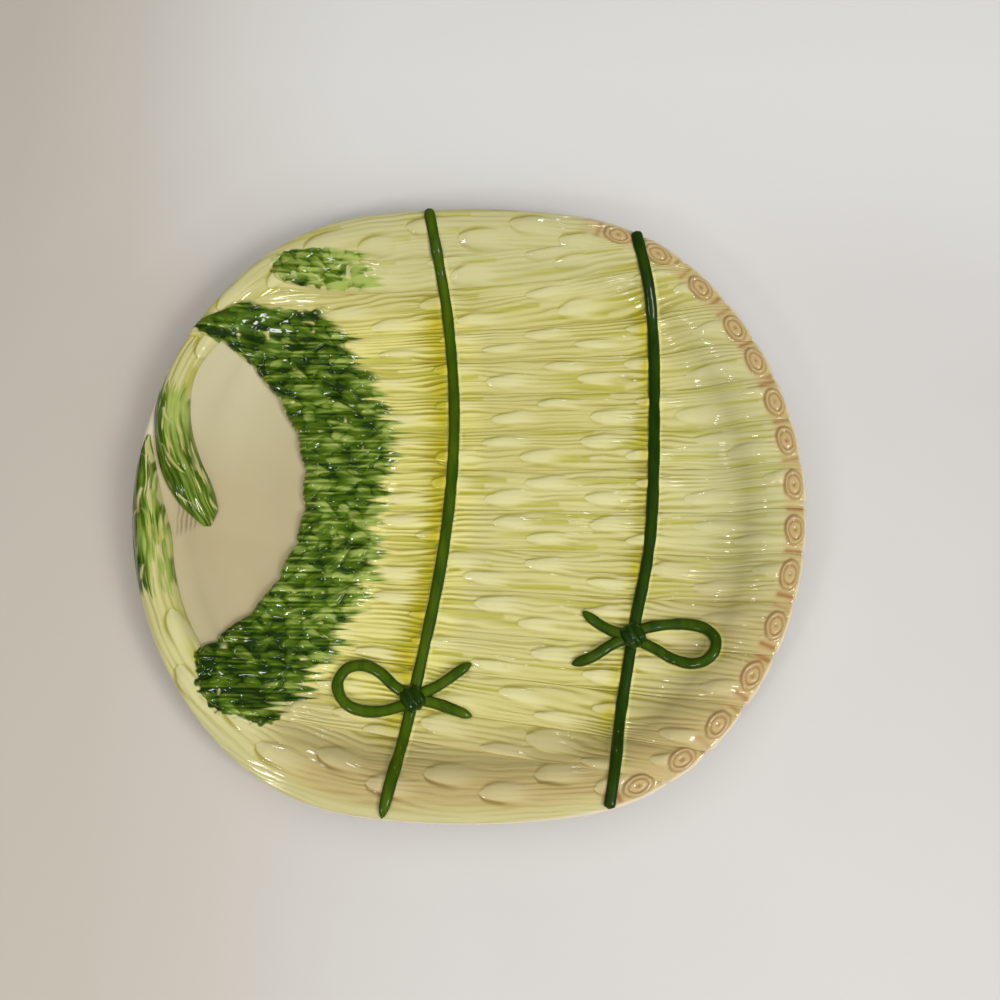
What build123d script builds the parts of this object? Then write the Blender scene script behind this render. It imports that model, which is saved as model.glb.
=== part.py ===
from build123d import *
import os
from math import atan, atan2, ceil, copysign, cos, degrees, hypot, radians, sin, sqrt, tan

# An oval earthenware plate in the form of a tied bundle of asparagus, in millimetres.
# X runs along the bundle from the heads to the cut ends, Z is up, and the plate stands on z = 0.

# Outline of the plate: two end arcs, two side arcs and four corner arcs, all tangent.
plate_length = 265.0
plate_width = 247.0
corner_radius = 90.0
end_bulge = 12.8
side_bulge = 2.0

# Section of the plate
foot_height = 6.0
wall = 5.0
lip_width = 6.0
rim_rise = 12.0
rim_run = 32.0

# Foot ring
foot_inset = 50.0
foot_width = 7.0
foot_bevel = 1.2

# Sauce well, a shallow hollow in the floor
well_from_left = 47.0
well_y = 6.0
well_half_width = 15.0
well_half_length = 46.0
well_depth = 2.5

# Spears: directions of the rim's normal at the cut ends, from the top of the bundle to the bottom
cut_end_directions = [68.5, 56.2, 42.1, 32.5, 25.5, 17.4, 10.2, 2.2]
cut_end_directions += [-5.7, -13.6, -22.7, -32.1, -42.1, -53.7, -66.6]
# Where the outermost straight spears part from the curled ones: direction of the normal, inset
upper_parting = (125.0, 8.5)
lower_parting = (224.0, 15.5)
# Tips of the straight spears: distance from the plate's left end, and y
head_tips = [
    (52.0, 93.0),
    (24.5, 70.0),
    (36.3, 61.5),
    (47.2, 51.0),
    (57.3, 36.6),
    (63.1, 21.9),
    (64.9, 5.4),
    (63.9, -8.9),
    (58.9, -23.0),
    (51.2, -36.9),
    (38.6, -49.7),
    (30.7, -60.0),
    (36.0, -77.0),
]
stalk_crown = 3.4
stalk_edge = 1.6
station_step = 9.0
spear_sink = 2.5
spear_end_inset = 1.0
# Slip joint between pieces that are laid on or beside each other
seam = 0.1
closing_tolerance = 1e-6
search_steps = 40
# Heads: distance from the tip, share of the spear's width, height of the crown
head_stations = [(38.0, 1.0, 4.2), (26.0, 1.0, 5.0), (14.0, 0.98, 5.0), (5.0, 0.86, 4.4), (0.0, 0.4, 2.4)]
# Scale leaves on the stalks: x of one on the upper half of each straight spear, spacing along the spear
bract_starts = [20.0, 22.0, 26.0, 26.0, 28.0, 6.0, 27.0, 6.0, 26.0, 5.0, 24.0, 10.0, 27.0]
bract_pitch = 42.0
bract_steps = (-2, -1, 0, 1, 2)
bract_shift = 18.0
bract_across = 0.38
bract_end_gap = 30.0
# Sections of a scale leaf: distance from its crisp end, half width, height over the stalk
bract_stations = [(0.0, 0.9, 0.3), (3.0, 2.5, 1.0), (9.0, 3.1, 1.0), (22.0, 2.0, 0.1)]
# Scales of the heads, in rows towards the stalk
scale_rows = 6
scale_pitch = 6.2
scale_first = 2.6
scale_across = 0.44
scale_stations = [(0.0, 1.2, 0.3), (1.4, 2.3, 1.0), (5.6, 1.6, 0.1)]
leaf_sink = 0.5
leaf_flat = 0.5

# Curled spears along the rim: direction of the normal, outer inset, inner inset, height of the crown
upper_curl = [
    (62.4, 2.0, 10.0, 3.0),
    (72.0, 2.0, 15.0, 3.0),
    (81.0, 2.0, 18.0, 3.0),
    (90.0, 2.0, 20.5, 3.0),
    (99.0, 2.0, 21.5, 3.0),
    (108.0, 2.0, 21.5, 3.0),
    (120.0, 2.0, 19.0, 3.0),
    (134.0, 2.0, 16.0, 2.6),
    (146.0, 2.0, 11.0, 2.0),
    (155.0, 2.0, 10.5, 3.0),
    (163.0, 3.0, 19.0, 5.2),
    (170.0, 8.0, 25.5, 5.4),
    (176.0, 14.0, 29.0, 4.8),
    (180.5, 20.0, 30.5, 3.8),
    (183.5, 25.5, 28.5, 2.4),
]
lower_curl = [
    (299.8, 2.0, 14.0, 3.0),
    (290.0, 2.0, 19.5, 3.0),
    (281.0, 2.0, 23.5, 3.0),
    (270.0, 2.0, 28.0, 3.0),
    (259.0, 2.0, 31.0, 3.0),
    (248.0, 2.0, 31.0, 3.0),
    (236.0, 2.0, 27.0, 3.0),
    (224.0, 2.0, 20.0, 3.0),
    (212.0, 2.0, 16.0, 3.2),
    (203.0, 2.0, 14.5, 4.2),
    (194.0, 2.0, 14.8, 5.0),
    (186.0, 2.0, 14.0, 5.0),
    (179.0, 2.0, 10.5, 4.4),
    (173.5, 2.0, 6.8, 3.2),
    (170.5, 2.2, 4.2, 2.2),
]

# Cut ends on the right lip
cut_length = 12.0
cut_width = 8.6
cut_inset = 5.4
cut_height = 4.0
cut_ring_margin = 1.5
cut_ring_width = 1.0
cut_ring_depth = 0.7
notch_radius = 4.0
notch_depth = 1.6

# Strings: rim direction at the top, plan points on the way down, rim direction at the bottom
tie_radius = 2.3
tie_height = 4.1
tie_end_inset = 1.0
tie_floor_runs = 4
# Share of a run that the bend at one of its ends may take
bend_share = 0.45
left_tie = (93.2, [(-9.4, 78.0), (-6.6, 30.0), (-10.4, -20.0), (-21.4, -77.0)], 264.2)
right_tie = (64.6, [(74.8, 77.5), (75.1, 38.7), (72.0, -13.4), (64.0, -53.0)], 284.7)

# Bows: y of the knot, then points of the loop and of the two tails, counted from the knot
cord_radius = 2.1
tail_radius = 1.9
bow_lift = 0.9
left_knot_y = -77.0
left_loop = [(-2.2, 2.4), (-14.0, 11.6), (-27.5, 14.4), (-31.5, 4.0)]
left_loop += [(-24.5, -5.6), (-11.0, -4.6), (-2.2, -2.4)]
left_upper_tail = [(1.5, 2.2), (11.0, 5.6), (22.6, 13.6)]
left_lower_tail = [(1.5, -2.0), (11.0, -2.6), (22.9, -6.9)]
right_knot_y = -53.0
right_loop = [(2.2, 2.4), (12.0, 4.4), (27.0, 6.0), (33.6, -3.4)]
right_loop += [(27.0, -12.4), (14.0, -9.0), (2.2, -2.4)]
right_upper_tail = [(-1.5, 2.0), (-9.0, 2.4), (-19.5, 9.4)]
right_lower_tail = [(-1.5, -2.0), (-10.0, -4.0), (-24.6, -11.0)]
knot_angle = 35.0
knot_turns = 3
knot_lobe = 3.0
knot_waist = 3.5
knot_radius = 4.4
knot_base = 1.0

# Heights and arcs that follow from the sizes above
half_length = plate_length / 2
half_width = plate_width / 2
floor_z = foot_height + wall
lip_z = floor_z + rim_rise
floor_inset = lip_width + rim_run
rim_turn = 2 * atan(rim_rise / rim_run)
rim_radius = rim_run / 2 / sin(rim_turn)
corner_x = half_length - corner_radius - end_bulge
corner_y = half_width - corner_radius - side_bulge
end_radius = corner_radius + end_bulge / 2 + corner_y**2 / (2 * end_bulge)
side_radius = corner_radius + side_bulge / 2 + corner_x**2 / (2 * side_bulge)
end_x = half_length - end_radius
side_y = half_width - side_radius
end_limit = degrees(atan2(corner_y, corner_x - end_x))
side_limit = degrees(atan2(corner_y - side_y, corner_x))
bow_z = floor_z + stalk_crown + bow_lift
tall = lip_z + 4 * wall
left_bow = (left_tie, left_knot_y, left_loop, left_upper_tail, left_lower_tail)
right_bow = (right_tie, right_knot_y, right_loop, right_upper_tail, right_lower_tail)


def quarter_arc(angle):
    """Centre and radius of the outline's arc whose normal has this angle, in the first quadrant."""
    if angle <= end_limit:
        return end_x, 0.0, end_radius
    if angle >= side_limit:
        return 0.0, side_y, side_radius
    return corner_x, corner_y, corner_radius


def rim_point(direction, inset):
    """Plan point on the outline moved in by inset, where the outline's normal has this direction."""
    across, along = cos(radians(direction)), sin(radians(direction))
    centre_x, centre_y, radius = quarter_arc(degrees(atan2(abs(along), abs(across))))
    x = centre_x + (radius - inset) * abs(across)
    y = centre_y + (radius - inset) * abs(along)
    return copysign(x, across), copysign(y, along)


def inset_at(x, y):
    """Distance of a plan point from the outline, inwards."""
    x, y = abs(x), abs(y)
    if degrees(atan2(y, x - end_x)) <= end_limit:
        return end_radius - hypot(x - end_x, y)
    if degrees(atan2(y - side_y, x)) >= side_limit:
        return side_radius - hypot(x, y - side_y)
    return corner_radius - hypot(x - corner_x, y - corner_y)


def plate_height(x, y):
    """Height of the plate's upper face at a plan point."""
    inset = inset_at(x, y)
    if inset <= lip_width:
        return lip_z
    if inset <= lip_width + rim_run / 2:
        return lip_z - rim_radius + sqrt(rim_radius**2 - (inset - lip_width) ** 2)
    if inset <= floor_inset:
        return floor_z + rim_radius - sqrt(rim_radius**2 - (floor_inset - inset) ** 2)
    return floor_z


def outline_arcs():
    """Centre, radius, start and sweep of the eight arcs of the outline, anticlockwise."""
    end_sweep = 2 * end_limit
    side_sweep = 2 * (90 - side_limit)
    corner_sweep = side_limit - end_limit
    arcs = []
    for sign in (1, -1):
        turn = 0 if sign > 0 else 180
        arcs.append((sign * end_x, 0.0, end_radius, turn - end_limit, end_sweep))
        arcs.append((sign * corner_x, sign * corner_y, corner_radius, turn + end_limit, corner_sweep))
        arcs.append((0.0, sign * side_y, side_radius, turn + side_limit, side_sweep))
        arcs.append((-sign * corner_x, sign * corner_y, corner_radius, turn + 180 - side_limit, corner_sweep))
    return arcs


def outline_face(inset):
    """Flat face bounded by the outline moved in by inset."""
    edges = [CenterArc((x, y), radius - inset, start, sweep) for x, y, radius, start, sweep in outline_arcs()]
    return make_face(edges)


def outline_prism(inset, low, high):
    """Upright prism on the outline moved in by inset."""
    return Pos(0, 0, low) * extrude(outline_face(inset), amount=high - low)


def rise_arcs(radius, lift):
    """The two tangent arcs of the rise from lip to floor, lifted along the normal, outline at this radius."""

    def upper(turn):
        r = rim_radius + lift
        return radius - lip_width - r * sin(turn), lip_z - rim_radius + r * cos(turn)

    def lower(turn):
        r = rim_radius - lift
        return radius - floor_inset + r * sin(turn), floor_z + rim_radius - r * cos(turn)

    return [
        ThreePointArc(upper(0), upper(rim_turn / 2), upper(rim_turn)),
        ThreePointArc(lower(rim_turn), lower(rim_turn / 2), lower(0)),
    ]


def closed_face(chains):
    """Face bounded by chains of edges, with straight lines where one chain ends away from the next."""
    edges = []
    for chain, following in zip(chains, chains[1:] + chains[:1]):
        edges += chain
        end, start = chain[-1] @ 1, following[0] @ 0
        if (start - end).length > closing_tolerance:
            edges.append(Line(end, start))
    return make_face(edges)


def rim_profile(radius):
    """Section of the lip and the rise, with the outline at this radius from the axis."""
    edge = radius - wall / 2
    lip = ThreePointArc((edge, lip_z - wall), (radius, lip_z - wall / 2), (edge, lip_z))
    below = [ThreePointArc(arc @ 1, arc @ 0.5, arc @ 0) for arc in reversed(rise_arcs(radius, -wall))]
    return closed_face([[lip], rise_arcs(radius, 0), below])


def seat_profile(radius):
    """Section of the room below and outside the spears, with the outline at this radius from the axis."""
    end, outside = radius - spear_end_inset, radius + 2 * wall
    inner = radius - floor_inset
    wall_top = Line((end, tall), (end, lip_z + seam))
    base = Line((inner, 0), (outside, 0))
    return closed_face([[Line((outside, 0), (outside, tall))], [wall_top], rise_arcs(radius, seam), [base]])


def make_well():
    """Barrel-shaped cutter for the sauce well: an arc along Y turned about an axis above the plate."""
    low = floor_z - well_depth
    turn_radius = (well_half_width**2 + well_depth**2) / (2 * well_depth)
    section = make_face(
        [
            ThreePointArc((-well_half_length, well_depth), (0, 0), (well_half_length, well_depth)),
            Line((well_half_length, well_depth), (well_half_length, turn_radius)),
            Line((well_half_length, turn_radius), (-well_half_length, turn_radius)),
            Line((-well_half_length, turn_radius), (-well_half_length, well_depth)),
        ]
    )
    x = well_from_left - half_length
    upright = Plane(origin=(x, well_y, low), x_dir=(0, 1, 0), z_dir=(1, 0, 0))
    axis = Axis((x, well_y, low + turn_radius), (0, 1, 0))
    barrel = revolve(upright * section, axis=axis, revolution_arc=360)
    reach = Pos(x, well_y, floor_z) * Box(2 * well_half_width, 2 * well_half_length, 2 * well_depth)
    return barrel & reach


def make_notches():
    """Cutters that scallop the lip between the cut ends."""
    cutters = []
    for first, second in zip(cut_end_directions, cut_end_directions[1:]):
        x, y = rim_point((first + second) / 2, notch_depth - notch_radius)
        cutters.append(Pos(x, y, lip_z) * Cylinder(notch_radius, 4 * wall))
    return cutters


def turn_round_outline(profile, middle):
    """A section turned about each arc of the outline and joined to the middle."""
    solids = []
    for x, y, radius, start, sweep in outline_arcs():
        a = radians(start)
        upright = Plane(origin=(x, y, 0), x_dir=(cos(a), sin(a), 0), z_dir=(sin(a), -cos(a), 0))
        solids.append(revolve(upright * profile(radius), axis=Axis((x, y, 0), (0, 0, 1)), revolution_arc=sweep))
    return middle + solids


def make_plate_body():
    """The dished plate with its flat floor, sauce well and scalloped lip."""
    body = turn_round_outline(rim_profile, outline_prism(floor_inset, foot_height, floor_z))
    return body - [make_well(), *make_notches()]


def make_seat():
    """The room that spears are cut back from: the plate with a slip joint on it, and all beyond its edge."""
    return turn_round_outline(seat_profile, outline_prism(floor_inset, 0, floor_z + seam))


def make_foot_ring():
    """The ring that the plate stands on, bevelled where it meets the table."""
    ring = outline_prism(foot_inset, 0, foot_height) - outline_prism(foot_inset + foot_width, 0, foot_height)
    low_edges = [edge for edge in ring.edges() if edge.bounding_box().max.Z < foot_height / 2]
    return chamfer(low_edges, foot_bevel)


def spear_section(first, second, crown):
    """Section of a spear in the upright plane through two plan points: crowned, and sunk into the plate."""
    middle = ((first[0] + second[0]) / 2, (first[1] + second[1]) / 2)
    first_z, middle_z, second_z = plate_height(*first), plate_height(*middle), plate_height(*second)
    crown_z = max(middle_z, (first_z + second_z) / 2) + crown
    edges = [
        ThreePointArc((*first, first_z + stalk_edge), (*middle, crown_z), (*second, second_z + stalk_edge)),
        Line((*second, second_z + stalk_edge), (*second, second_z - spear_sink)),
        Line((*second, second_z - spear_sink), (*middle, middle_z - spear_sink)),
        Line((*middle, middle_z - spear_sink), (*first, first_z - spear_sink)),
        Line((*first, first_z - spear_sink), (*first, first_z + stalk_edge)),
    ]
    return Face(Wire(edges))


def tip_point(index):
    """Plan point of the tip of a straight spear, counted from the top."""
    from_left, y = head_tips[index]
    return from_left - half_length, y


def spear_borders():
    """Straight plan lines between neighbouring spears, from the rim at the right to the heads."""
    borders = []
    last = len(head_tips)
    for index in range(last + 1):
        right = rim_point((cut_end_directions[index] + cut_end_directions[index + 1]) / 2, 0)
        if index == 0:
            left = rim_point(*upper_parting)
        elif index == last:
            left = rim_point(*lower_parting)
        else:
            (ax, ay), (bx, by) = tip_point(index - 1), tip_point(index)
            left = ((ax + bx) / 2, (ay + by) / 2)
        borders.append((left, right))
    return borders


def border_y(border, x):
    """Height in plan of a border line at x."""
    (left_x, left_y), (right_x, right_y) = border
    return left_y + (right_y - left_y) * (x - left_x) / (right_x - left_x)


def stalk_steps(start_x, head_x, upper, lower):
    """Even steps of x along a stalk, without those in the middle of a stretch on the flat floor."""
    count = ceil((start_x - head_x) / station_step)
    steps = [start_x + (head_x - start_x) * step / count for step in range(count)]
    flat = [min(inset_at(x, border_y(upper, x)), inset_at(x, border_y(lower, x))) > floor_inset for x in steps]
    kept = []
    for step, x in enumerate(steps):
        if not all(flat[max(step - 1, 0) : step + 2]):
            kept.append(x)
    return kept


def head_form(back):
    """Share of the width and height of the crown at a distance from a straight spear's tip."""
    for (far, far_share, far_crown), (near, near_share, near_crown) in zip(head_stations, head_stations[1:]):
        if near <= back <= far:
            part = (back - near) / (far - near)
            return near_share + (far_share - near_share) * part, near_crown + (far_crown - near_crown) * part
    return 1.0, stalk_crown


def make_leaf(index, borders, start, side, stations):
    """A scale leaf on a straight spear, its crisp end at x = start, side being its place across the spear."""
    upper, lower = borders[index], borders[index + 1]
    tip_x = tip_point(index)[0]
    sections = []
    for back, half_leaf, height in stations:
        x = start + back
        share, crown = head_form(x - tip_x)
        middle = (border_y(upper, x) + border_y(lower, x)) / 2
        half = share * (border_y(upper, x) - border_y(lower, x)) / 2
        corners = []
        for offset, lift in ((-1, -leaf_sink), (-leaf_flat, height), (leaf_flat, height), (1, -leaf_sink)):
            across = side * half + offset * half_leaf
            top = stalk_edge + (crown - stalk_edge) * (1 - (across / half) ** 2)
            y = middle + across
            corners.append((x, y, plate_height(x, y) + top + lift))
        sections.append(Face(Wire.make_polygon(corners)))
    return loft(sections, ruled=True)


def make_leaves(index, borders):
    """The scale leaves of a straight spear: small ones on its head, and long ones along its stalk."""
    tip_x = tip_point(index)[0]
    first_x = tip_x + head_stations[0][0] + scale_pitch
    last_x = rim_point(cut_end_directions[index + 1], 0)[0] - bract_end_gap
    leaves = []
    for row in range(scale_rows):
        start = tip_x + scale_first + row * scale_pitch
        sides = (scale_across, -scale_across) if row % 2 else (0.0,)
        leaves += [make_leaf(index, borders, start, side, scale_stations) for side in sides]
    for side, shift in ((bract_across, 0.0), (-bract_across, bract_shift)):
        for step in bract_steps:
            start = bract_starts[index] + shift + step * bract_pitch
            if first_x < start < last_x:
                leaves.append(make_leaf(index, borders, start, side, bract_stations))
    return leaves


def make_straight_spear(index, borders):
    """A straight spear from the right lip to its head, sectioned at steps of x."""
    upper, lower = borders[index], borders[index + 1]
    tip_x = tip_point(index)[0]
    start_x = max(upper[1][0], lower[1][0], rim_point(cut_end_directions[index + 1], 0)[0]) + wall / 2
    places = [(x, 1.0, stalk_crown) for x in stalk_steps(start_x, tip_x + head_stations[0][0], upper, lower)]
    places += [(tip_x + back, share, crown) for back, share, crown in head_stations]
    sections = []
    for x, share, crown in places:
        top, bottom = border_y(upper, x) - seam / 2, border_y(lower, x) + seam / 2
        middle, half = (top + bottom) / 2, share * (top - bottom) / 2
        sections.append(spear_section((x, middle + half), (x, middle - half), crown))
    return loft(sections, ruled=True) + make_leaves(index, borders)


def make_curled_spear(stations):
    """A spear that follows the rim, sectioned square to the outline."""
    sections = []
    for direction, outer, inner, crown in stations:
        sections.append(spear_section(rim_point(direction, outer), rim_point(direction, inner), crown))
    return loft(sections, ruled=True)


def cut_end_oval(direction, grow, low, high):
    """Upright oval prism at a cut end, its outline moved out by grow, between two heights over the lip."""
    x, y = rim_point(direction, cut_inset)
    oval = extrude(Ellipse(cut_width / 2 + grow, cut_length / 2 + grow), amount=high - low)
    return Pos(x, y, lip_z + low) * Rot(0, 0, direction) * oval


def make_cut_end(direction):
    """The oval sliced end of a spear on the lip, with one sunk ring."""
    ring_floor = cut_height - cut_ring_depth
    boss = cut_end_oval(direction, 0, -wall / 2, cut_height)
    outside = cut_end_oval(direction, -cut_ring_margin, ring_floor, cut_height)
    inside = cut_end_oval(direction, -cut_ring_margin - cut_ring_width, ring_floor, cut_height)
    return boss - (outside - inside)


def make_spears(strings):
    """All spears from the top of the bundle to the bottom, each seated on the plate and under the strings."""
    seat = make_seat()
    borders = spear_borders()
    straight = [make_straight_spear(index, borders) for index in range(len(head_tips))]
    upper = largest_solid(make_curled_spear(upper_curl) - straight[0])
    lower = largest_solid(make_curled_spear(lower_curl) - straight[-1])
    inner = [largest_solid(spear - touching(spear, [upper, lower])) for spear in straight[1:-1]]
    spears = [upper, straight[0], *inner, straight[-1], lower]
    end_rooms = [cut_end_oval(direction, seam, -wall / 2, tall - lip_z) for direction in cut_end_directions]
    seated = []
    for number, spear in enumerate(spears):
        beside = end_rooms[max(number - 1, 0) : number] + end_rooms[number + 1 : number + 2]
        whole = (spear - beside) + make_cut_end(cut_end_directions[number])
        seated.append(largest_solid(whole - [seat, *touching(spear, strings)]))
    return seated


def bend_radii(points):
    """Largest radius for each inner corner of a route that leaves its two runs a straight stretch."""
    radii = []
    for before, here, after in zip(points, points[1:], points[2:]):
        arriving, leaving = Vector(*here) - Vector(*before), Vector(*after) - Vector(*here)
        half_turn = radians(arriving.get_angle(leaving)) / 2
        radii.append(bend_share * min(arriving.length, leaving.length) / tan(half_turn))
    return radii


def round_cord(points, radius):
    """A round cord along a route of straight runs joined by arcs."""
    path = FilletPolyline(*points, radius=bend_radii(points))
    section = Plane(origin=path @ 0, z_dir=path % 0) * Circle(radius)
    return sweep(section, path=path)


def tie_plan(tie):
    """Plan curve of a string from rim to rim."""
    top, between, bottom = tie
    return Spline(rim_point(top, tie_end_inset), *between, rim_point(bottom, tie_end_inset))


def find_share(curve, start, end, reached):
    """Share of the curve's length, between start and end, at which a test first becomes true."""
    for _ in range(search_steps):
        middle = (start + end) / 2
        if reached(curve @ middle):
            end = middle
        else:
            start = middle
    return end


def make_tie(tie, clearance):
    """A string over the bundle, down into the dish and up to the other rim."""
    plan = tie_plan(tie)
    insets = [lip_width, lip_width + rim_run / 4, lip_width + 3 * rim_run / 4, floor_inset]
    going_in = [find_share(plan, 0, 0.5, lambda p: inset_at(p.X, p.Y) > inset) for inset in insets]
    coming_out = [find_share(plan, 1, 0.5, lambda p: inset_at(p.X, p.Y) > inset) for inset in reversed(insets)]
    first, last = going_in[-1], coming_out[0]
    flat = [first + (last - first) * step / tie_floor_runs for step in range(1, tie_floor_runs)]
    points = []
    for share in [0, *going_in, *flat, *coming_out, 1]:
        p = plan @ share
        points.append((p.X, p.Y, plate_height(p.X, p.Y) + tie_height))
    return round_cord(points, tie_radius + clearance)


def knot_place(tie, y):
    """Where a string's knot sits: on the string's plan curve at this y."""
    plan = tie_plan(tie)
    p = plan @ find_share(plan, 0, 1, lambda point: point.Y < y)
    return p.X, p.Y


def make_knot(x, y, clearance):
    """Turns of string wrapped round the crossing, flat where they sit on the plate."""
    half = knot_turns * knot_lobe / 2 + clearance
    points = [(-half, 0), (-half, knot_waist + clearance)]
    for turn in range(knot_turns):
        low = (turn - knot_turns / 2) * knot_lobe
        points.append((low + knot_lobe / 4, knot_radius + clearance))
        points.append((low + knot_lobe * 3 / 4, knot_radius + clearance))
        if turn < knot_turns - 1:
            points.append((low + knot_lobe, knot_waist + clearance))
    points += [(half, knot_waist + clearance), (half, 0)]
    barrel = revolve(make_face(Polyline(*points, close=True)), axis=Axis.X, revolution_arc=360)
    turned = Pos(x, y, bow_z) * Rot(0, 0, knot_angle) * barrel
    side = 4 * knot_radius
    return turned - Pos(x, y, floor_z + knot_base - clearance - side / 2) * Box(side, side, side)


def bow_route(x, y, points):
    """Points of a loop or a tail, counted from the knot, at the bow's height over the plate."""
    height = stalk_crown + bow_lift
    return [(x + dx, y + dy, plate_height(x + dx, y + dy) + height) for dx, dy in points]


def make_tail(x, y, points, clearance):
    """A loose end of string: one bent run with a rounded tip."""
    start, middle, end = bow_route(x, y, points)
    path = ThreePointArc(start, middle, end)
    radius = tail_radius + clearance
    section = Plane(origin=path @ 0, z_dir=path % 0) * Circle(radius)
    return sweep(section, path=path) + Pos(*end) * Sphere(radius)


def bow_forms(bow, clearance):
    """String, knot, loop and tails of one bow, each whole and grown by the clearance."""
    tie, knot_y, loop_points, upper_points, lower_points = bow
    x, y = knot_place(tie, knot_y)
    return [
        make_tie(tie, clearance),
        make_knot(x, y, clearance),
        round_cord(bow_route(x, y, loop_points), cord_radius + clearance),
        make_tail(x, y, upper_points, clearance),
        make_tail(x, y, lower_points, clearance),
    ]


def fit_bow(side, pieces, room):
    """The pieces of one bow by name, the knot cut back from the string, and the rest from both."""
    tie, knot, loop, upper, lower = pieces
    tie_room, knot_room = room[:2]
    return {
        f"tie_{side}": tie,
        f"bow_{side}_knot": largest_solid(knot - tie_room),
        f"bow_{side}_loop": largest_solid(loop - [tie_room, knot_room]),
        f"bow_{side}_tail_upper": largest_solid(upper - [tie_room, knot_room]),
        f"bow_{side}_tail_lower": largest_solid(lower - [tie_room, knot_room]),
    }


def largest_solid(shape):
    """The piece itself, without crumbs that a cut leaves behind."""
    return max(shape.solids(), key=lambda solid: solid.volume)


def touching(shape, others):
    """Those of the other solids whose boxes meet this one's."""
    box = shape.bounding_box()
    found = []
    for other in others:
        other_box = other.bounding_box()
        apart = (
            other_box.min.X > box.max.X
            or other_box.max.X < box.min.X
            or other_box.min.Y > box.max.Y
            or other_box.max.Y < box.min.Y
        )
        if not apart:
            found.append(other)
    return found


def make_parts():
    """Every piece of the plate by name."""
    parts = {"plate_body": make_plate_body(), "foot_ring": make_foot_ring()}
    rooms = []
    for side, bow in (("left", left_bow), ("right", right_bow)):
        room = bow_forms(bow, seam)
        parts.update(fit_bow(side, bow_forms(bow, 0), room))
        rooms += room
    for number, spear in enumerate(make_spears(rooms), 1):
        parts[f"spear_{number:02d}"] = spear
    return parts


os.makedirs("parts", exist_ok=True)
for name, shape in make_parts().items():
    export_step(shape, f"parts/{name}.step")
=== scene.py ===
import bmesh
import bpy
import numpy as np
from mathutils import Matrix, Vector


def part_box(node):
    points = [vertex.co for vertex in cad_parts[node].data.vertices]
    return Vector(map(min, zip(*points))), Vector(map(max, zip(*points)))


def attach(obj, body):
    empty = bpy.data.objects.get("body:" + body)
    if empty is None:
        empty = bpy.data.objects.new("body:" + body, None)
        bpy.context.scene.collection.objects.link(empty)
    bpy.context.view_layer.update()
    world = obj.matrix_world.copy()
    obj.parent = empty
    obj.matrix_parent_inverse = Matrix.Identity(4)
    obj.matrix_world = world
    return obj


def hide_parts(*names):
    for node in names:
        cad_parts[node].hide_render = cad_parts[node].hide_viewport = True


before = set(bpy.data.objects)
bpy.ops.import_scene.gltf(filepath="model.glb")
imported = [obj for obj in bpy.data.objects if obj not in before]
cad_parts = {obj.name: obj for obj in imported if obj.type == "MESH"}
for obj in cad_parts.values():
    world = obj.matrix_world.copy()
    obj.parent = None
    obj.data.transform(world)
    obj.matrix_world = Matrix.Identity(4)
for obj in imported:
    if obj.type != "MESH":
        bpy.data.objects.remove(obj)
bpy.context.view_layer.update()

# The glazed asparagus plate: relief, painting and light. Lengths are in millimetres until a mesh is made.
MM = 0.001

# Plate, from the frame and the same arcs and section as the solids
plate_low, plate_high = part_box("plate_body")
HALF_LENGTH = -plate_low.x / MM
HALF_WIDTH = plate_high.y / MM
LIP_Z = plate_high.z / MM
UNDER_Z = plate_low.z / MM
WALL = 5
FLOOR_Z = UNDER_Z + WALL
CORNER_RADIUS = 90
END_BULGE = 12.8
SIDE_BULGE = 2
LIP_WIDTH = 6
RIM_RUN = 32
RIM_RISE = LIP_Z - FLOOR_Z
FLOOR_INSET = LIP_WIDTH + RIM_RUN
RIM_TURN = 2 * np.arctan(RIM_RISE / RIM_RUN)
RIM_RADIUS = RIM_RUN / 2 / np.sin(RIM_TURN)
CORNER_X = HALF_LENGTH - CORNER_RADIUS - END_BULGE
CORNER_Y = HALF_WIDTH - CORNER_RADIUS - SIDE_BULGE
END_RADIUS = CORNER_RADIUS + END_BULGE / 2 + CORNER_Y**2 / (2 * END_BULGE)
SIDE_RADIUS = CORNER_RADIUS + SIDE_BULGE / 2 + CORNER_X**2 / (2 * SIDE_BULGE)
END_X = HALF_LENGTH - END_RADIUS
SIDE_Y = HALF_WIDTH - SIDE_RADIUS
END_LIMIT = np.degrees(np.arctan2(CORNER_Y, CORNER_X - END_X))
SIDE_LIMIT = np.degrees(np.arctan2(CORNER_Y - SIDE_Y, CORNER_X))
# Rings of its mesh: over the face, round the edge of the lip, and back below in wider steps
PLATE_ROWS = 115
PLATE_COLUMNS = 600
PLATE_MIDDLE = 88
LIP_ROWS = 9
LIP_TURN = 75
UNDER_STEP = 3
# Notches of the lip: depth, run inwards, and half width as a share of the cut ends' spacing
NOTCH_DEPTH = 1.4
NOTCH_RUN = 8
NOTCH_SHARE = 0.3

# Sauce well: centre, half sizes, depth and curve of the hollow in the floor
WELL_CENTRE = (-86.5, 6)
WELL_HALF = (21, 56)
WELL_DEPTH = 2.5
WELL_CURVE = 1.5
# Brush lines beside the upper curled head: pitch, waviness, slanted line where they fade
HATCH_PITCH = 1.5
HATCH_WAVE = 3
HATCH_CORNER = (-112.5, -13)
HATCH_SLOPE = 0.8
HATCH_FADE = (-1.5, 2)

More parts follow.
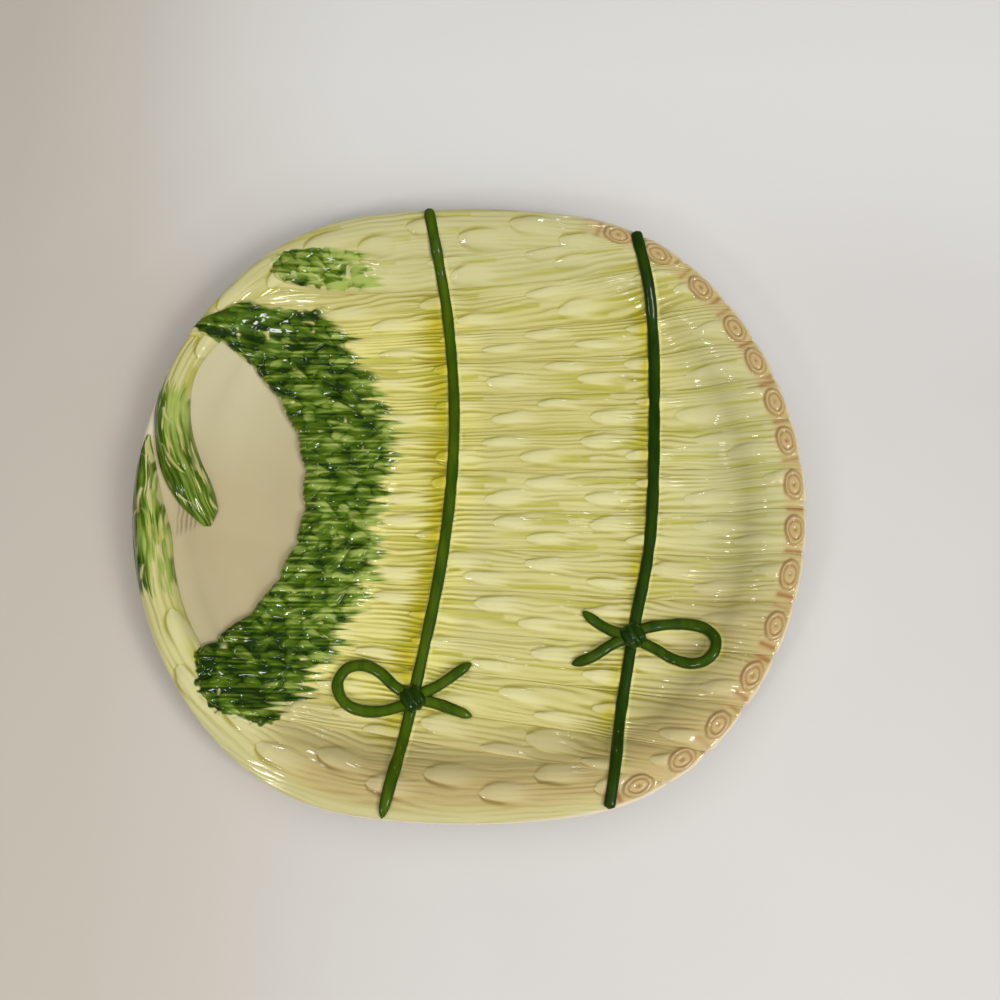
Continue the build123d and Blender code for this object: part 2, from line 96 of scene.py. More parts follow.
# Spears: directions of the rim's normal at the cut ends, and the tips of the straight ones
CUT_ENDS = [68.5, 56.2, 42.1, 32.5, 25.5, 17.4, 10.2, 2.2, -5.7, -13.6, -22.7, -32.1, -42.1, -53.7, -66.6]
TIPS = [
    (-81, 93.5), (-112, 71), (-96.2, 62), (-85.3, 51.5), (-75.2, 36.6),
    (-69.4, 21.9), (-67.6, 5.4), (-68.6, -8.9), (-73.6, -23), (-81.3, -36.9),
    (-94.4, -50.2), (-103, -60.3), (-99.5, -77.2),
]
# Their green in plan: right edge from below, other edges from the left, patch on the second spear
GREEN_RIGHT = [(-67, -86), (-62.5, -74), (-56, -65), (-50, -54), (-46, -46), (-40.5, -38)]
GREEN_RIGHT += [(-34.5, -25), (-36, -9), (-32, 5), (-30.5, 18), (-30.5, 31), (-36, 43)]
GREEN_RIGHT += [(-36.5, 52), (-47, 60), (-47.5, 67), (-55, 74), (-59.5, 83)]
GREEN_BOTTOM = [(-103, -73), (-94.5, -82.5), (-85.5, -84.5), (-77, -87), (-66, -83.5)]
GREEN_TOP = [(-113, 73), (-102.5, 76.5), (-93, 81), (-80.5, 80), (-70, 80.5), (-58, 83.5)]
PATCH_CENTRE = (-60.5, 97)
PATCH_HALF = (20.5, 7.6)
PATCH_CURVE = 3
PATCH_BELOW = 86
PATCH_WEAR = 0.36
RAGGED_BELOW = -70
TIP_REACH = 1.2
# Left ends of their borders: directions and insets on the rim, and the corner below the second head
UPPER_BORDER_END = (125, 8.5)
LOWER_BORDER_END = (224, 15.5)
SECOND_HEAD_CORNER = (-79, 87)
HEAD_NOTCH = 2
END_INSET = 0.7
# Heights at the sides and in the middle, powers of the curves across, and reach of the rounded edges
STALK_EDGE = 2.3
STALK_CROWN = 3.2
HEAD_EDGE = 3.4
HEAD_CROWN = 4.4
CURL_EDGE = STALK_EDGE - 0.5
CROWN_CURVE = 2.4
TIP_CURVE = 2.6
VALLEY_CURVE = 6
TIP_ROUND = 3
LIP_ROUND = 2.2
CURL_LIP_ROUND = 3
CURL_INNER_ROUND = 2.5
STEP_ALONG = 0.42
STEP_ACROSS = 0.32
SKIRT = 0.4
SPEAR_SEEDS = 20

# Scale leaves on the stalks: x of one on the upper half of each straight spear, then their common rule
BRACT_STARTS = [20, 22, 26, 26, 28, 6, 27, 6, 26, 5, 24, 10, 27]
BRACT_STEPS = range(-2, 3)
BRACT_PITCH = 42
BRACT_SHIFT = 18
BRACT_ACROSS = 0.38
BRACT_HALF = 3.2
BRACT_SEED = 900
BRACT_STRAY = 5
BRACT_RANGE = (0.75, 1.35)
BRACT_OPENING = 11
BRACT_LENGTH = 23
BRACT_RISE = 0.8
BRACT_DENT = 0.15
BRACT_BEND_SEED = 41
# Those of the curled spears: half width, half of the stalk's width, gaps to the head and the cut end
CURL_BRACT_HALF = 4.2
CURL_BRACT_WIDTH = 8
CURL_BRACT_GAPS = (8, 24)
# Fibres of the stalks, so many fine ones to a coarse one, and their reach left and right of a string
FIBRE_PITCH = 2.4
FIBRE_DEPTH = 0.62
FINE_COUNT = 1.9
FIBRE_REACH = (24, 12)
# Scales of the heads
SCALE_LENGTH = 6.4
SCALE_WIDTH = 3.4
SCALE_RISE = 1.15
SCALE_TURN = 0.7
SCALE_TILT = 0.2
HEAD_SEED = 500

# Curled spears: direction of the normal, outer inset, inner inset, height of the crown
UPPER_CURL = [
    (62.4, 0.8, 10, 2.6), (72, 0.8, 15, 2.8), (81, 0.8, 18, 2.8), (90, 0.8, 21, 2.8),
    (99, 0.8, 22, 2.8), (108, 0.8, 22, 2.8), (120, 0.8, 20, 2.6), (134, 0.8, 17, 2.4),
    (146, 0.8, 13, 2.4), (155, 0.9, 11, 3), (163, 1.8, 15.4, 4.8), (170, 6.5, 22, 5.6),
    (176, 12, 28.5, 5.4), (180.5, 18, 31, 4.4), (183.5, 23.6, 29.8, 2.8), (184.9, 26.2, 28.4, 1.4),
]
LOWER_CURL = [
    (299.8, 0.8, 14, 2.6), (290, 0.8, 20, 2.8), (281, 0.8, 24.5, 2.8), (270, 0.8, 29, 2.8),
    (259, 0.8, 32, 2.8), (248, 0.8, 32, 2.8), (236, 0.8, 28, 2.8), (224, 0.8, 21, 2.8),
    (212, 0.8, 16.5, 3), (203, 0.8, 15, 4), (194, 0.9, 15, 4.8), (186, 0.9, 15.2, 5),
    (179, 1, 11.4, 4.4), (173.5, 1.2, 7.8, 3.4), (170, 1.8, 4.4, 2), (168.6, 2.3, 3.2, 1.2),
]
CURL_SAMPLES = 4000
UPPER_GREEN_LENGTH = 58
LOWER_GREEN_LENGTH = 64
UPPER_WEAR = 0.14
LOWER_WEAR = 0.58
# Large scales on the two curled heads: distance from the tip, offset across, half width
CURL_SCALES = [(9, -2, 4.4), (21, 1.6, 4.6), (31, -2.4, 4.4), (42, 1, 4.2), (52, -1.6, 4)]

# Cut ends: half sizes, inset, height, and the level of the ground round them
CUT_HALF = (3.6, 5.8)
CUT_INSET = 5.4
CUT_RISE = 1.1
CUT_LEVEL = STALK_EDGE + 0.6
CUT_COVER = 0.85
SPOT_SEED = 57

# Strings and bows, in plan: points of the strings, then loops and tails counted from the knot
TIE_HALF = 2.3
TIE_LIFT = 3.4
TIE_STEP = 1
TIE_TAPERS = {"left": (2.5, 7), "right": (2, 1.5)}
TAIL_TAPER = 6
BOW_TAPER = 1
BOW_STEP = 0.6
TAIL_POINTS = int(TAIL_TAPER / BOW_STEP)
LEFT_TIE = [(93.2, 1), (-9.4, 78), (-6.4, 30), (-10.4, -20), (-21.4, -77), (264.2, 1)]
RIGHT_TIE = [(64.6, 1), (74.8, 77.5), (75.1, 38.7), (72, -13.4), (64, -53), (284.7, 1)]
LEFT_KNOT = (-21.4, -77)
RIGHT_KNOT = (64, -53)
CORD_HALF = 2.2
BOW_LIFT = 4.2
LEFT_LOOP = [(-1.5, 1.6), (-7, 4.6), (-13, 10), (-19.2, 12.6), (-25.5, 11.5), (-29, 6.6)]
LEFT_LOOP += [(-28.2, 1.2), (-24.2, -3), (-17.6, -4.9), (-10, -4.4), (-1.5, -1.8)]
LEFT_TAILS = [[(0.5, 0.8), (5, 2.6), (10.6, 5.4), (16.8, 9.7), (22.6, 13.6)]]
LEFT_TAILS += [[(0.5, -0.6), (5, -0.9), (10.6, -2.4), (16.5, -4.5), (22.9, -6.9)]]
RIGHT_LOOP = [(1.5, 1.6), (5.5, 3.2), (11.6, 4.2), (20.2, 4.6), (27.3, 3), (31, -1)]
RIGHT_LOOP += [(30.4, -6), (26.8, -9.8), (21.6, -10.8), (15, -8.8), (8.6, -5), (1.5, -1.6)]
RIGHT_TAILS = [[(-0.5, 0.6), (-4.4, 1), (-8.6, 2.2), (-13.6, 5), (-19.5, 9.6)]]
RIGHT_TAILS += [[(-0.5, -0.6), (-4.4, -1.6), (-9.4, -4), (-15.9, -8), (-24, -11)]]
STRAND_SIDES = 28
STRAND_CURVE = 0.8
STRAND_FLAT = 0.85
STRAND_END_CURVE = 0.6
STRAND_LEAST = 0.05
KNOT_HALF = (5, 4.6, 4)
KNOT_ANGLE = np.radians(-55)
KNOT_LIFT = 0.4
KNOT_WRAPS = 3
KNOT_SWELL = (0.07, 0.02)
KNOT_CURVE = 0.75
KNOT_GRID = (40, 64)
# Olive beside them: reach left of each string, middle of its stretch, and reach round a bow
OLIVE_REACHES = (15, 9)
OLIVE_MIDDLE = -2
OLIVE_SEED = 71
BOW_REACH = 6
FAR_AWAY = 99.0

# Brush strokes: width, spacing, share of the places that have one, and rows and chances drawn
STROKE_WIDTH = 2.7
STROKE_CELL = 52
STROKE_SHARE = 0.42
STROKE_ROWS = 64
STROKE_CHANCES = 256
RIM_STROKE_INSET = 12
RIM_STROKE_STRAY = 8
PALE_RUN = 25
WARM_RUN = (16, 4)

# Waves of the noise fields: strength, length in the first direction and length in the second
LATTICE = 128
FIBRE_SWAY = [(0.9, 30, 8), (0.25, 9, 3)]
CARPET_STROKES = [(4.4, 1.4, 40), (3.6, 0.6, 25), (2.6, 4, 60)]
CURL_STROKES = [(4.5, 1, 40), (3, 0.45, 25)]
CURL_STREAKS = [(1, 8, 0.9), (0.5, 5, 0.45)]
CURL_TONES = [(0.3, 9, 0.55), (0.2, 6, 2.2)]
STRAND_WOBBLE = [(0.07, 6, 1), (0.03, 2, 1)]

# Glaze: unit of the wave texture, height of the fine unevenness in metres, and shine
WAVE_UNIT = 20
GLAZE_BUMP = 0.0002
GLAZE_SPECULAR = 0.15
COAT_ROUGHNESS = 0.04

# Floor: its reach and its inner grid lines
FLOOR_REACH = 4000
FLOOR_LINES = np.arange(-300, 310, 50)

# Lamps, in metres and watts: place, size, power and whether the glaze mirrors it
LAMPS = {
    "window": ((0.45, -0.7, 1), (1, 1), 7.6, False),
    "sky": ((-0.1, 0.2, 1.3), (1.4, 1.4), 8.3, False),
    "pane": ((0.5, -0.35, 0.85), (0.2, 0.28), 3, True),
    "left_pane": ((-0.45, -0.5, 0.75), (0.1, 0.14), 1.1, True),
    "far_pane": ((0.2, 1, 0.75), (0.06, 0.1), 0.3, True),
}
WORLD_COLOUR = (1, 0.99, 0.97, 1)
WORLD_STRENGTH = 0.05

# Camera: lens and sensor in millimetres, lean from straight above, distance and aim in metres
CAMERA_LENS = 40
CAMERA_SENSOR = 36
CAMERA_TILT = np.radians(12)
CAMERA_DISTANCE = 0.45994
CAMERA_TARGET = (0.012207, 0.004443, 0)


def linear(red, green, blue):
    """Display values from 0 to 255 as linear light."""
    value = np.array([red, green, blue]) / 255
    low, high = value / 12.92, ((value + 0.055) / 1.055) ** 2.4
    return (*np.where(value <= 0.04045, low, high), 1)


def smooth(low, high, value):
    """Smooth step from 0 at low to 1 at high."""
    share = np.clip((value - low) / (high - low), 0, 1)
    return share * share * (3 - 2 * share)


def bell(value, middle, width):
    """Bell curve of a value round its middle, 1 at the top."""
    return np.exp(-(((value - middle) / width) ** 2))


def round_off(run, reach, power=0.5):
    """Rounded rise from 0 to 1 over this reach, by default a quarter circle."""
    return (1 - (1 - np.clip(run / reach, 0, 1)) ** 2) ** power


def swollen(value, power):
    """A sine or cosine made fuller, for squarish sections."""
    return np.sign(value) * np.abs(value) ** power


def noise(x, y, seed):
    """Smooth random field from -1 to 1 with one cell per unit."""
    lattice = np.random.default_rng(seed).uniform(-1, 1, (LATTICE, LATTICE))
    cell_x, cell_y = np.floor(x).astype(int), np.floor(y).astype(int)
    share_x, share_y = smooth(0, 1, x - cell_x), smooth(0, 1, y - cell_y)
    x0, x1, y0, y1 = (cell % LATTICE for cell in (cell_x, cell_x + 1, cell_y, cell_y + 1))
    low = lattice[x0, y0] * (1 - share_x) + lattice[x1, y0] * share_x
    high = lattice[x0, y1] * (1 - share_x) + lattice[x1, y1] * share_x
    return low * (1 - share_y) + high * share_y


def waves(parts, first, second, seed):
    """Sum of noise fields, each with a strength and lengths in two directions."""
    total = 0
    for place, (strength, length, width) in enumerate(parts):
        total = total + strength * noise(first / length, second / width, seed + place)
    return total


def rim_point(direction, inset):
    """Plan points inset from the outline, where its normal has this direction."""
    across, along = np.cos(np.radians(direction)), np.sin(np.radians(direction))
    angle = np.degrees(np.arctan2(np.abs(along), np.abs(across)))
    on_end, on_side = angle <= END_LIMIT, angle >= SIDE_LIMIT
    centre_x = np.where(on_end, END_X, np.where(on_side, 0, CORNER_X))
    centre_y = np.where(on_end, 0, np.where(on_side, SIDE_Y, CORNER_Y))
    radius = np.where(on_end, END_RADIUS, np.where(on_side, SIDE_RADIUS, CORNER_RADIUS))
    x = np.copysign(centre_x + (radius - inset) * np.abs(across), across)
    y = np.copysign(centre_y + (radius - inset) * np.abs(along), along)
    return x, y


def inset_at(x, y):
    """Distance of plan points from the outline, inwards."""
    x, y = np.abs(x), np.abs(y)
    on_end = np.degrees(np.arctan2(y, x - END_X)) <= END_LIMIT
    on_side = np.degrees(np.arctan2(y - SIDE_Y, x)) >= SIDE_LIMIT
    end = END_RADIUS - np.hypot(x - END_X, y)
    side = SIDE_RADIUS - np.hypot(x, y - SIDE_Y)
    corner = CORNER_RADIUS - np.hypot(x - CORNER_X, y - CORNER_Y)
    return np.where(on_end, end, np.where(on_side, side, corner))


def zone(x, y, **ranges):
    """Share of a zone by ranges of x, y, distance from y = 0 or inset, from its start to its full part."""
    places = {"right": x, "up": y, "aside": np.abs(y), "inset": inset_at(x, y)}
    share = 1
    for axis, limits in ranges.items():
        share = share * smooth(*limits, places[axis])
    return share


def rise_at(inset):
    """Height of the plate's upper face at a distance from its outline."""
    upper_run = np.clip(inset - LIP_WIDTH, 0, RIM_RUN / 2)
    lower_run = np.clip(FLOOR_INSET - inset, 0, RIM_RUN / 2)
    upper = LIP_Z - RIM_RADIUS + np.sqrt(RIM_RADIUS**2 - upper_run**2)
    lower = FLOOR_Z + RIM_RADIUS - np.sqrt(RIM_RADIUS**2 - lower_run**2)
    return np.where(inset <= LIP_WIDTH + RIM_RUN / 2, upper, lower)


def plate_height(x, y):
    """Height of the plate's upper face, without the well."""
    return rise_at(inset_at(x, y))


def well_drop(x, y):
    """Depth of the sauce well below the plate's face."""
    reach = ((x - WELL_CENTRE[0]) / WELL_HALF[0]) ** 2 + ((y - WELL_CENTRE[1]) / WELL_HALF[1]) ** 2
    return WELL_DEPTH * np.clip(1 - reach, 0, 1) ** WELL_CURVE


def curve_between(start, end, first, last, share):
    """Point on a smooth curve between two points, with the slopes there."""
    s2, s3 = share**2, share**3
    leaving = start * (2 * s3 - 3 * s2 + 1) + first * (s3 - 2 * s2 + share)
    return leaving + end * (3 * s2 - 2 * s3) + last * (s3 - s2)


def smooth_route(points, step):
    """Curve through given plan points, sampled about every step."""
    points = np.array(points, float)
    ends = [2 * points[0] - points[1], *points, 2 * points[-1] - points[-2]]
    route = []
    for before, start, end, after in zip(ends, ends[1:], ends[2:], ends[3:]):
        count = max(2, int(np.linalg.norm(end - start) / step))
        for share in np.linspace(0, 1, count, endpoint=False):
            route.append(curve_between(start, end, (end - before) / 2, (after - start) / 2, share))
    return np.array([*route, points[-1]])


def smooth_track(values, where):
    """Values at even stops, read along a smooth curve through them."""
    slopes = np.gradient(values)
    cell = np.clip(np.floor(where).astype(int), 0, len(values) - 2)
    return curve_between(values[cell], values[cell + 1], slopes[cell], slopes[cell + 1], where - cell)


# Plan curves of the strings, whose ends are given as rim directions and insets
TIE_ROUTES = [
    smooth_route([rim_point(*first), *points, rim_point(*last)], TIE_STEP)
    for first, *points, last in (LEFT_TIE, RIGHT_TIE)
]


def bow_routes(knot, loop, tails):
    """Plan curves of the loop and the two tails of a bow."""
    return [smooth_route(np.array(points) + knot, BOW_STEP) for points in (loop, *tails)]


LEFT_BOW = bow_routes(LEFT_KNOT, LEFT_LOOP, LEFT_TAILS)
RIGHT_BOW = bow_routes(RIGHT_KNOT, RIGHT_LOOP, RIGHT_TAILS)
# Those that colour is pooled beside, the tails without their tapered ends
POOL_ROUTES = []
for bow_loop, *bow_tails in (LEFT_BOW, RIGHT_BOW):
    POOL_ROUTES += [bow_loop, *(route[:-TAIL_POINTS] for route in bow_tails)]


def border(points, where, axis):
    """Line through plan points, read at places along one axis."""
    table = np.array(points)
    return np.interp(where, table[:, axis], table[:, 1 - axis])


def tie_offset(route, x, y):
    """How far points lie to the right of a string."""
    return x - border(route[::-1], y, 1)


def quads(index):
    """Quads between neighbouring rows and columns of point numbers."""
    corners = [index[:-1, :-1], index[1:, :-1], index[1:, 1:], index[:-1, 1:]]
    return np.stack(corners, -1).reshape(-1, 4).tolist()


def point_numbers(rows, columns):
    """Numbers of a grid of points, row by row."""
    return np.arange(rows * columns).reshape(rows, columns)


def tube_faces(rows, columns):
    """Faces of a row of closed rings, with a face over each end."""
    index = point_numbers(rows, columns)
    closed = np.concatenate([index, index[:, :1]], 1)
    return [*quads(closed), index[0].tolist(), index[-1].tolist()]


def add_layers(mesh, layers):
    """Keeps a painting on a mesh, one named value per point and layer."""
    for label, values in layers.items():
        layer = mesh.attributes.new(label, "FLOAT", "POINT")
        layer.data.foreach_set("value", np.asarray(values, np.float32).ravel())


def add_piece(name, points, faces, material, nodes, layers):
    """A smooth-shaded piece that stands for CAD nodes, with its painting."""
    mesh = bpy.data.meshes.new(name)
    mesh.from_pydata((np.asarray(points) * MM).tolist(), [], faces)
    shape = bmesh.new()
    shape.from_mesh(mesh)
    bmesh.ops.recalc_face_normals(shape, faces=shape.faces)
    shape.to_mesh(mesh)
    shape.free()
    mesh.shade_smooth()
    add_layers(mesh, layers)
    mesh.materials.append(material)
    piece = bpy.data.objects.new(name, mesh)
    bpy.context.scene.collection.objects.link(piece)
    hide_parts(*nodes)
    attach(piece, "root")


def relief_piece(node, x, y, z, layers, material):
    """A closed piece with a relief on top and sides down to the plate all round."""
    index = point_numbers(*x.shape)
    loop = [*index[0], *index[1:, -1], *index[-1, -2::-1], *index[-2:0:-1, 0]]
    top = np.stack([x, y, z], -1).reshape(-1, 3)
    base = top[loop].copy()
    place = base[:, :2].T
    base[:, 2] = plate_height(*place) - well_drop(*place) - SKIRT
    low = {vertex: len(top) + place for place, vertex in enumerate(loop)}
    faces = quads(index)
    faces += [[v, after, low[after], low[v]] for v, after in zip(loop, [*loop[1:], loop[0]])]
    ends = index[1:-1, [0, -1]]
    bottom = [[a, b, d, c] for (a, b), (c, d) in zip(ends, ends[1:])]
    bottom += [[*index[0], *ends[0, ::-1]], [*ends[-1], *index[-1, ::-1]]]
    faces += [[low[v] for v in face] for face in bottom]
    points = np.concatenate([top, base])
    kept = {label: np.concatenate([v.ravel(), v.ravel()[loop]]) for label, v in layers.items()}
    add_piece(f"{node}_glazed", points, faces, material, [node], kept)


def ripples(turns):
    """Even grooves, one per turn, from 0 to 1."""
    return 0.5 - 0.5 * np.cos(2 * np.pi * turns)


def fibre_field(along, across, seed):
    """Wavy fibres along a stalk: depth in their grooves, from 0 to 1."""
    broad = ripples(across / FIBRE_PITCH + waves(FIBRE_SWAY, along, across, seed)) ** 2.2
    fine = ripples(FINE_COUNT * across / FIBRE_PITCH + 0.9 * noise(along / 17, across / 3, seed + 2)) ** 2
    strength = 0.3 + 0.7 * smooth(-0.6, 0.4, noise(along / 17, across / 3, seed + 3))
    fine_strength = smooth(-0.2, 0.7, noise(along / 21, across / 5, seed + 4))
    return np.clip(broad * strength + 0.4 * fine * fine_strength, 0, 1)


def fibre_strength(x, y):
    """Strength of the fibres: most beside the strings, little on the upper and lower rims."""
    near = np.zeros_like(x)
    for route in TIE_ROUTES:
        offset = tie_offset(route, x, y)
        near = np.maximum(near, bell(offset, 0, np.where(offset < 0, *FIBRE_REACH)))
    calm = np.maximum(zone(x, y, up=(84, 112)), 0.9 * zone(x, y, up=(-70, -105)))
    return (0.6 + 0.6 * near) * (1 - 0.6 * calm)


def bract_field(along, across, bracts):
    """Scale leaves on a stalk: cover, dome and a rim round their crisp ends, laid on the stalks as painted
    shade.
    """
    cover, dome, shade = np.zeros((3, *along.shape))
    for place, (start, middle, half) in enumerate(bracts):
        a, b = along - start, across - middle
        b = b + 0.5 * noise(along / 7 + 9 * place, 0 * along, BRACT_BEND_SEED)
        opening = np.clip(a / BRACT_OPENING, 0, 1)
        narrowing = 1 - 0.3 * smooth(BRACT_OPENING, BRACT_LENGTH, a)
        width = half * np.sqrt(opening * (2 - opening)) * narrowing + 1e-3
        fade = 1 - smooth(0.4 * BRACT_LENGTH, BRACT_LENGTH, a)
        inside = np.clip(1 - (b / width) ** 2, 0, 1) * (a > 0)
        cover = np.maximum(cover, 0.95 * smooth(0, 0.75, inside) * fade)
        dome = np.maximum(dome, inside**0.8 * smooth(-0.5, 5, a) * fade)
        edge = np.hypot(np.maximum(0.6 - a, 0), np.maximum(np.abs(b) - width, 0))
        rim = bell(edge, 0, 0.9) * (1 - smooth(0, 0.5, inside)) * np.where(b < 0, 1, 0.4)
        shade = np.maximum(shade, rim * (1 - smooth(4, 17, a)))
    return cover, dome, shade


def scale_field(x, y, seed):
    """Overlapping scales of the heads: height and tone of the topmost one."""
    size = 64
    draw = np.random.default_rng(seed)
    ahead, aside, turns, tilts_along, tilts_across = draw.uniform(-1, 1, (5, size, size))
    shades, bulks = draw.uniform(0, 1, (2, size, size))
    row, column = np.floor(x / SCALE_LENGTH).astype(int), np.floor(y / SCALE_WIDTH).astype(int)
    best = np.zeros((4, *x.shape))
    best[1] = 0.3
    for row_step in (-2, -1, 0, 1):
        for column_step in (-2, -1, 0, 1, 2):
            r, c = row + row_step, column + column_step
            cell = (r % size, c % size)
            a = x - (r + 0.5 + 0.5 * (c % 2) + 0.4 * ahead[cell]) * SCALE_LENGTH
            b = y - (c + 0.5 + 0.4 * aside[cell]) * SCALE_WIDTH
            turn = SCALE_TURN * turns[cell]
            a, b = a * np.cos(turn) + b * np.sin(turn), b * np.cos(turn) - a * np.sin(turn)
            reach = np.where(a < 0, 0.5, 1.25) * SCALE_LENGTH
            spread = 0.8 * SCALE_WIDTH * (1 - 0.75 * np.clip(a / reach, 0, 1))
            body = np.clip(1 - (a / reach) ** 2 - (b / spread) ** 2, 0, 1) ** 0.5
            lean = SCALE_TILT * (tilts_along[cell] * a + tilts_across[cell] * b) / SCALE_RISE
            body = body * np.clip(0.55 + 0.45 * bulks[cell] - 0.05 * a + lean, 0.1, 1.2)
            shade = shades[cell]
            best = np.where(body > best[0], [body, shade, a + 7 * shade, b], best)
    height, tone, vein_a, vein_b = best
    return height, tone + 0.45 * noise(vein_a / 5, vein_b / 0.5, seed + 1)


def green_depth(x, y):
    """Distance inside the green of the straight heads, from its right edge and its other edges."""
    from_right = border(GREEN_RIGHT, y, 1) - x
    from_left = x - border(TIPS[:0:-1], y, 1) + TIP_REACH
    from_other = np.minimum(border(GREEN_TOP, x, 0) - y, y - border(GREEN_BOTTOM, x, 0))
    from_other = np.minimum(from_other, from_left)
    rise = np.abs(y - PATCH_CENTRE[1]) / PATCH_HALF[1]
    swell = PATCH_HALF[0] * np.clip(1 - rise**PATCH_CURVE, 0, 1) ** (1 / PATCH_CURVE)
    patch_right = PATCH_CENTRE[0] + swell - x
    patch_other = np.minimum(x - PATCH_CENTRE[0] + swell, PATCH_HALF[1] * (1 - rise))
    in_patch = y > PATCH_BELOW
    return np.where(in_patch, patch_right, from_right), np.where(in_patch, patch_other, from_other)


def carpet_field(x, y):
    """Green of the straight heads: its cover and tone, then the zone and height of their scales."""
    seed = HEAD_SEED + 1
    from_right, from_other = green_depth(x, y)
    in_patch = y > PATCH_BELOW
    stroke = waves(CARPET_STROKES, y, x, seed) * (1 + 0.5 * zone(x, y, up=(-50, -66)))
    ragged = np.where(in_patch | (y < RAGGED_BELOW), 1.8, 0.8) * noise(x / 1.9, y / 1.1, seed + 6)
    cover = smooth(-2.4, 2.6, from_right + stroke) * smooth(-0.4, 0.6, from_other + ragged)
    wear = np.where(in_patch, PATCH_WEAR, 0)
    # Painted shade: the green darker towards its upper and lower ends, outside the patch
    painted_shade = 0.2 * zone(x, y, aside=(40, 70)) * (1 - in_patch)
    gaps = smooth(0.8 - wear, 1 - wear, noise(x / 3.6, y / 2, seed + 3)) * smooth(1, 6, from_other)
    edge = 1 - smooth(-2, 16, from_right)
    tone = 0.48 + (0.34 + 0.1 * edge) * noise(x / 11, y / 0.8, seed + 4)
    tone = tone + 0.16 * noise(x / 5, y / 2, seed + 5) + (0.24 + 0.4 * wear) * edge + 0.55 * wear - painted_shade
    scaly = smooth(-4, 4, from_right) * smooth(-2, 1, from_other)
    height, shade = scale_field(x, y, HEAD_SEED)
    height = height * scaly
    # Painted shade between the scales: the tone follows their height, darker low down and lighter on top
    tone = tone + (0.36 * (shade - 0.5) + 0.5 * (height - 0.7)) * scaly
    return cover * (1 - 0.9 * gaps), tone, scaly, height


def curl_brush_field(along, across, inner, length, wear, seed):
    """Green strokes from a curled tip, with cream streaks on its inner side: their cover and tone."""
    cover = 1 - smooth(-2.5, 1, along - length - waves(CURL_STROKES, across, along, seed))
    bent = across + 1.2 * noise(along / 9, across / 4, seed + 2)
    streak = waves(CURL_STREAKS, along, bent, seed + 3)
    opening = smooth(0.2, 1, along / length)
    wear = wear * smooth(-0.5, 0.3, inner)
    gaps = smooth(0.72 - wear, 1.1 - wear, streak + 0.2 * opening) * smooth(-1, -0.6, inner)
    tone = 0.5 + waves(CURL_TONES, along, bent, seed + 5)
    tone = tone + 0.46 * opening * smooth(-0.7, 0.2, inner) - 0.2 * smooth(0, -0.8, inner)
    return cover * (1 - 0.95 * gaps), tone


def stroke_field(x, across, seed):
    """Long soft strokes of yellow-green along the stalks, blunt at their right ends."""
    draw = np.random.default_rng(seed)
    shifts, chances = draw.uniform(0, 1, STROKE_ROWS), draw.uniform(0, 1, STROKE_CHANCES)
    band = across / STROKE_WIDTH + 0.5 * noise(x / 34, across / 6, seed)
    row = np.floor(band).astype(int)
    cell = x / STROKE_CELL + shifts[row % STROKE_ROWS]
    column = np.floor(cell).astype(int)
    a = (cell - column) * STROKE_CELL
    run = smooth(4, 26, a) * (1 - smooth(39, 40.5, a))
    side = 1 - smooth(0.22, 0.5, np.abs(band - row - 0.5))
    return run * side * (chances[(17 * row + 5 * column) % STROKE_CHANCES] < STROKE_SHARE)


def rim_stroke_field(x, y):
    """Short strokes of yellow-green on the right rim, beside the cut ends."""
    seed = HEAD_SEED + 20
    draw = np.random.default_rng(seed)
    shifts, chances = draw.uniform(0, RIM_STROKE_STRAY, STROKE_ROWS), draw.uniform(0, 1, STROKE_ROWS)
    band = y / STROKE_WIDTH + 0.4 * noise(x / 20, y / 5, seed)
    row = np.floor(band).astype(int)
    start = inset_at(x, y) - RIM_STROKE_INSET - shifts[row % STROKE_ROWS]
    run = smooth(-0.5, 1.5, start) * smooth(15, 8, start)
    side = 1 - smooth(0.2, 0.5, np.abs(band - row - 0.5))
    stroke = run * side * (chances[row % STROKE_ROWS] < STROKE_SHARE)
    return stroke * zone(x, y, right=(60, 90), aside=(52, 36))


def cut_end_field(direction, x, y):
    """The cut end of a spear: its height, then its tan wash, brown rings and spots."""
    centre_x, centre_y = rim_point(direction, CUT_INSET)
    turn = np.radians(direction)
    out = ((x - centre_x) * np.cos(turn) + (y - centre_y) * np.sin(turn)) / CUT_HALF[0]
    side = ((y - centre_y) * np.cos(turn) - (x - centre_x) * np.sin(turn)) / CUT_HALF[1]
    reach = np.hypot(out, side) + 0.06 * noise(2 * out, 2 * side, int(direction * 10) % 997)
    rise = CUT_RISE * (1 - smooth(0.82, 1.15, reach))
    rise = rise - 0.5 * bell(reach, 0.62, 0.1) - 0.4 * bell(reach, 0, 0.16)
    ring = 0.9 * bell(reach, 0.64, 0.085) + 0.8 * bell(reach, 0, 0.2) + 0.55 * bell(reach, 1, 0.1)
    along_lip = 0.65 * zone(x, y, inset=(10.5, 7)) * (1 - smooth(2.2, 3, np.abs(side)))
    wash = np.maximum(1 - smooth(0.95, 1.5, reach), along_lip)
    spot = zone(x, y, inset=(9.5, 7.5)) * zone(x, y, inset=(1.4, 2.6)) * bell(np.abs(side), 1.42, 0.2)
    spot = spot * smooth(-0.7, 0.3, noise(0.16 * direction + side, side, SPOT_SEED))
    return rise, (wash, np.clip(ring, 0, 1), spot)


def strand_gap(x, y, routes):
    """Distance from the nearest strand's middle line, large where none is near."""
    gap = np.full(x.shape, FAR_AWAY)
    for route in routes:
        low, high = route.min(0) - BOW_REACH, route.max(0) + BOW_REACH
        near = (x > low[0]) & (x < high[0]) & (y > low[1]) & (y < high[1])
        if near.any():
            away = np.hypot(x[near][:, None] - route[:, 0], y[near][:, None] - route[:, 1]).min(1)
            gap[near] = np.minimum(gap[near], away)
    return gap


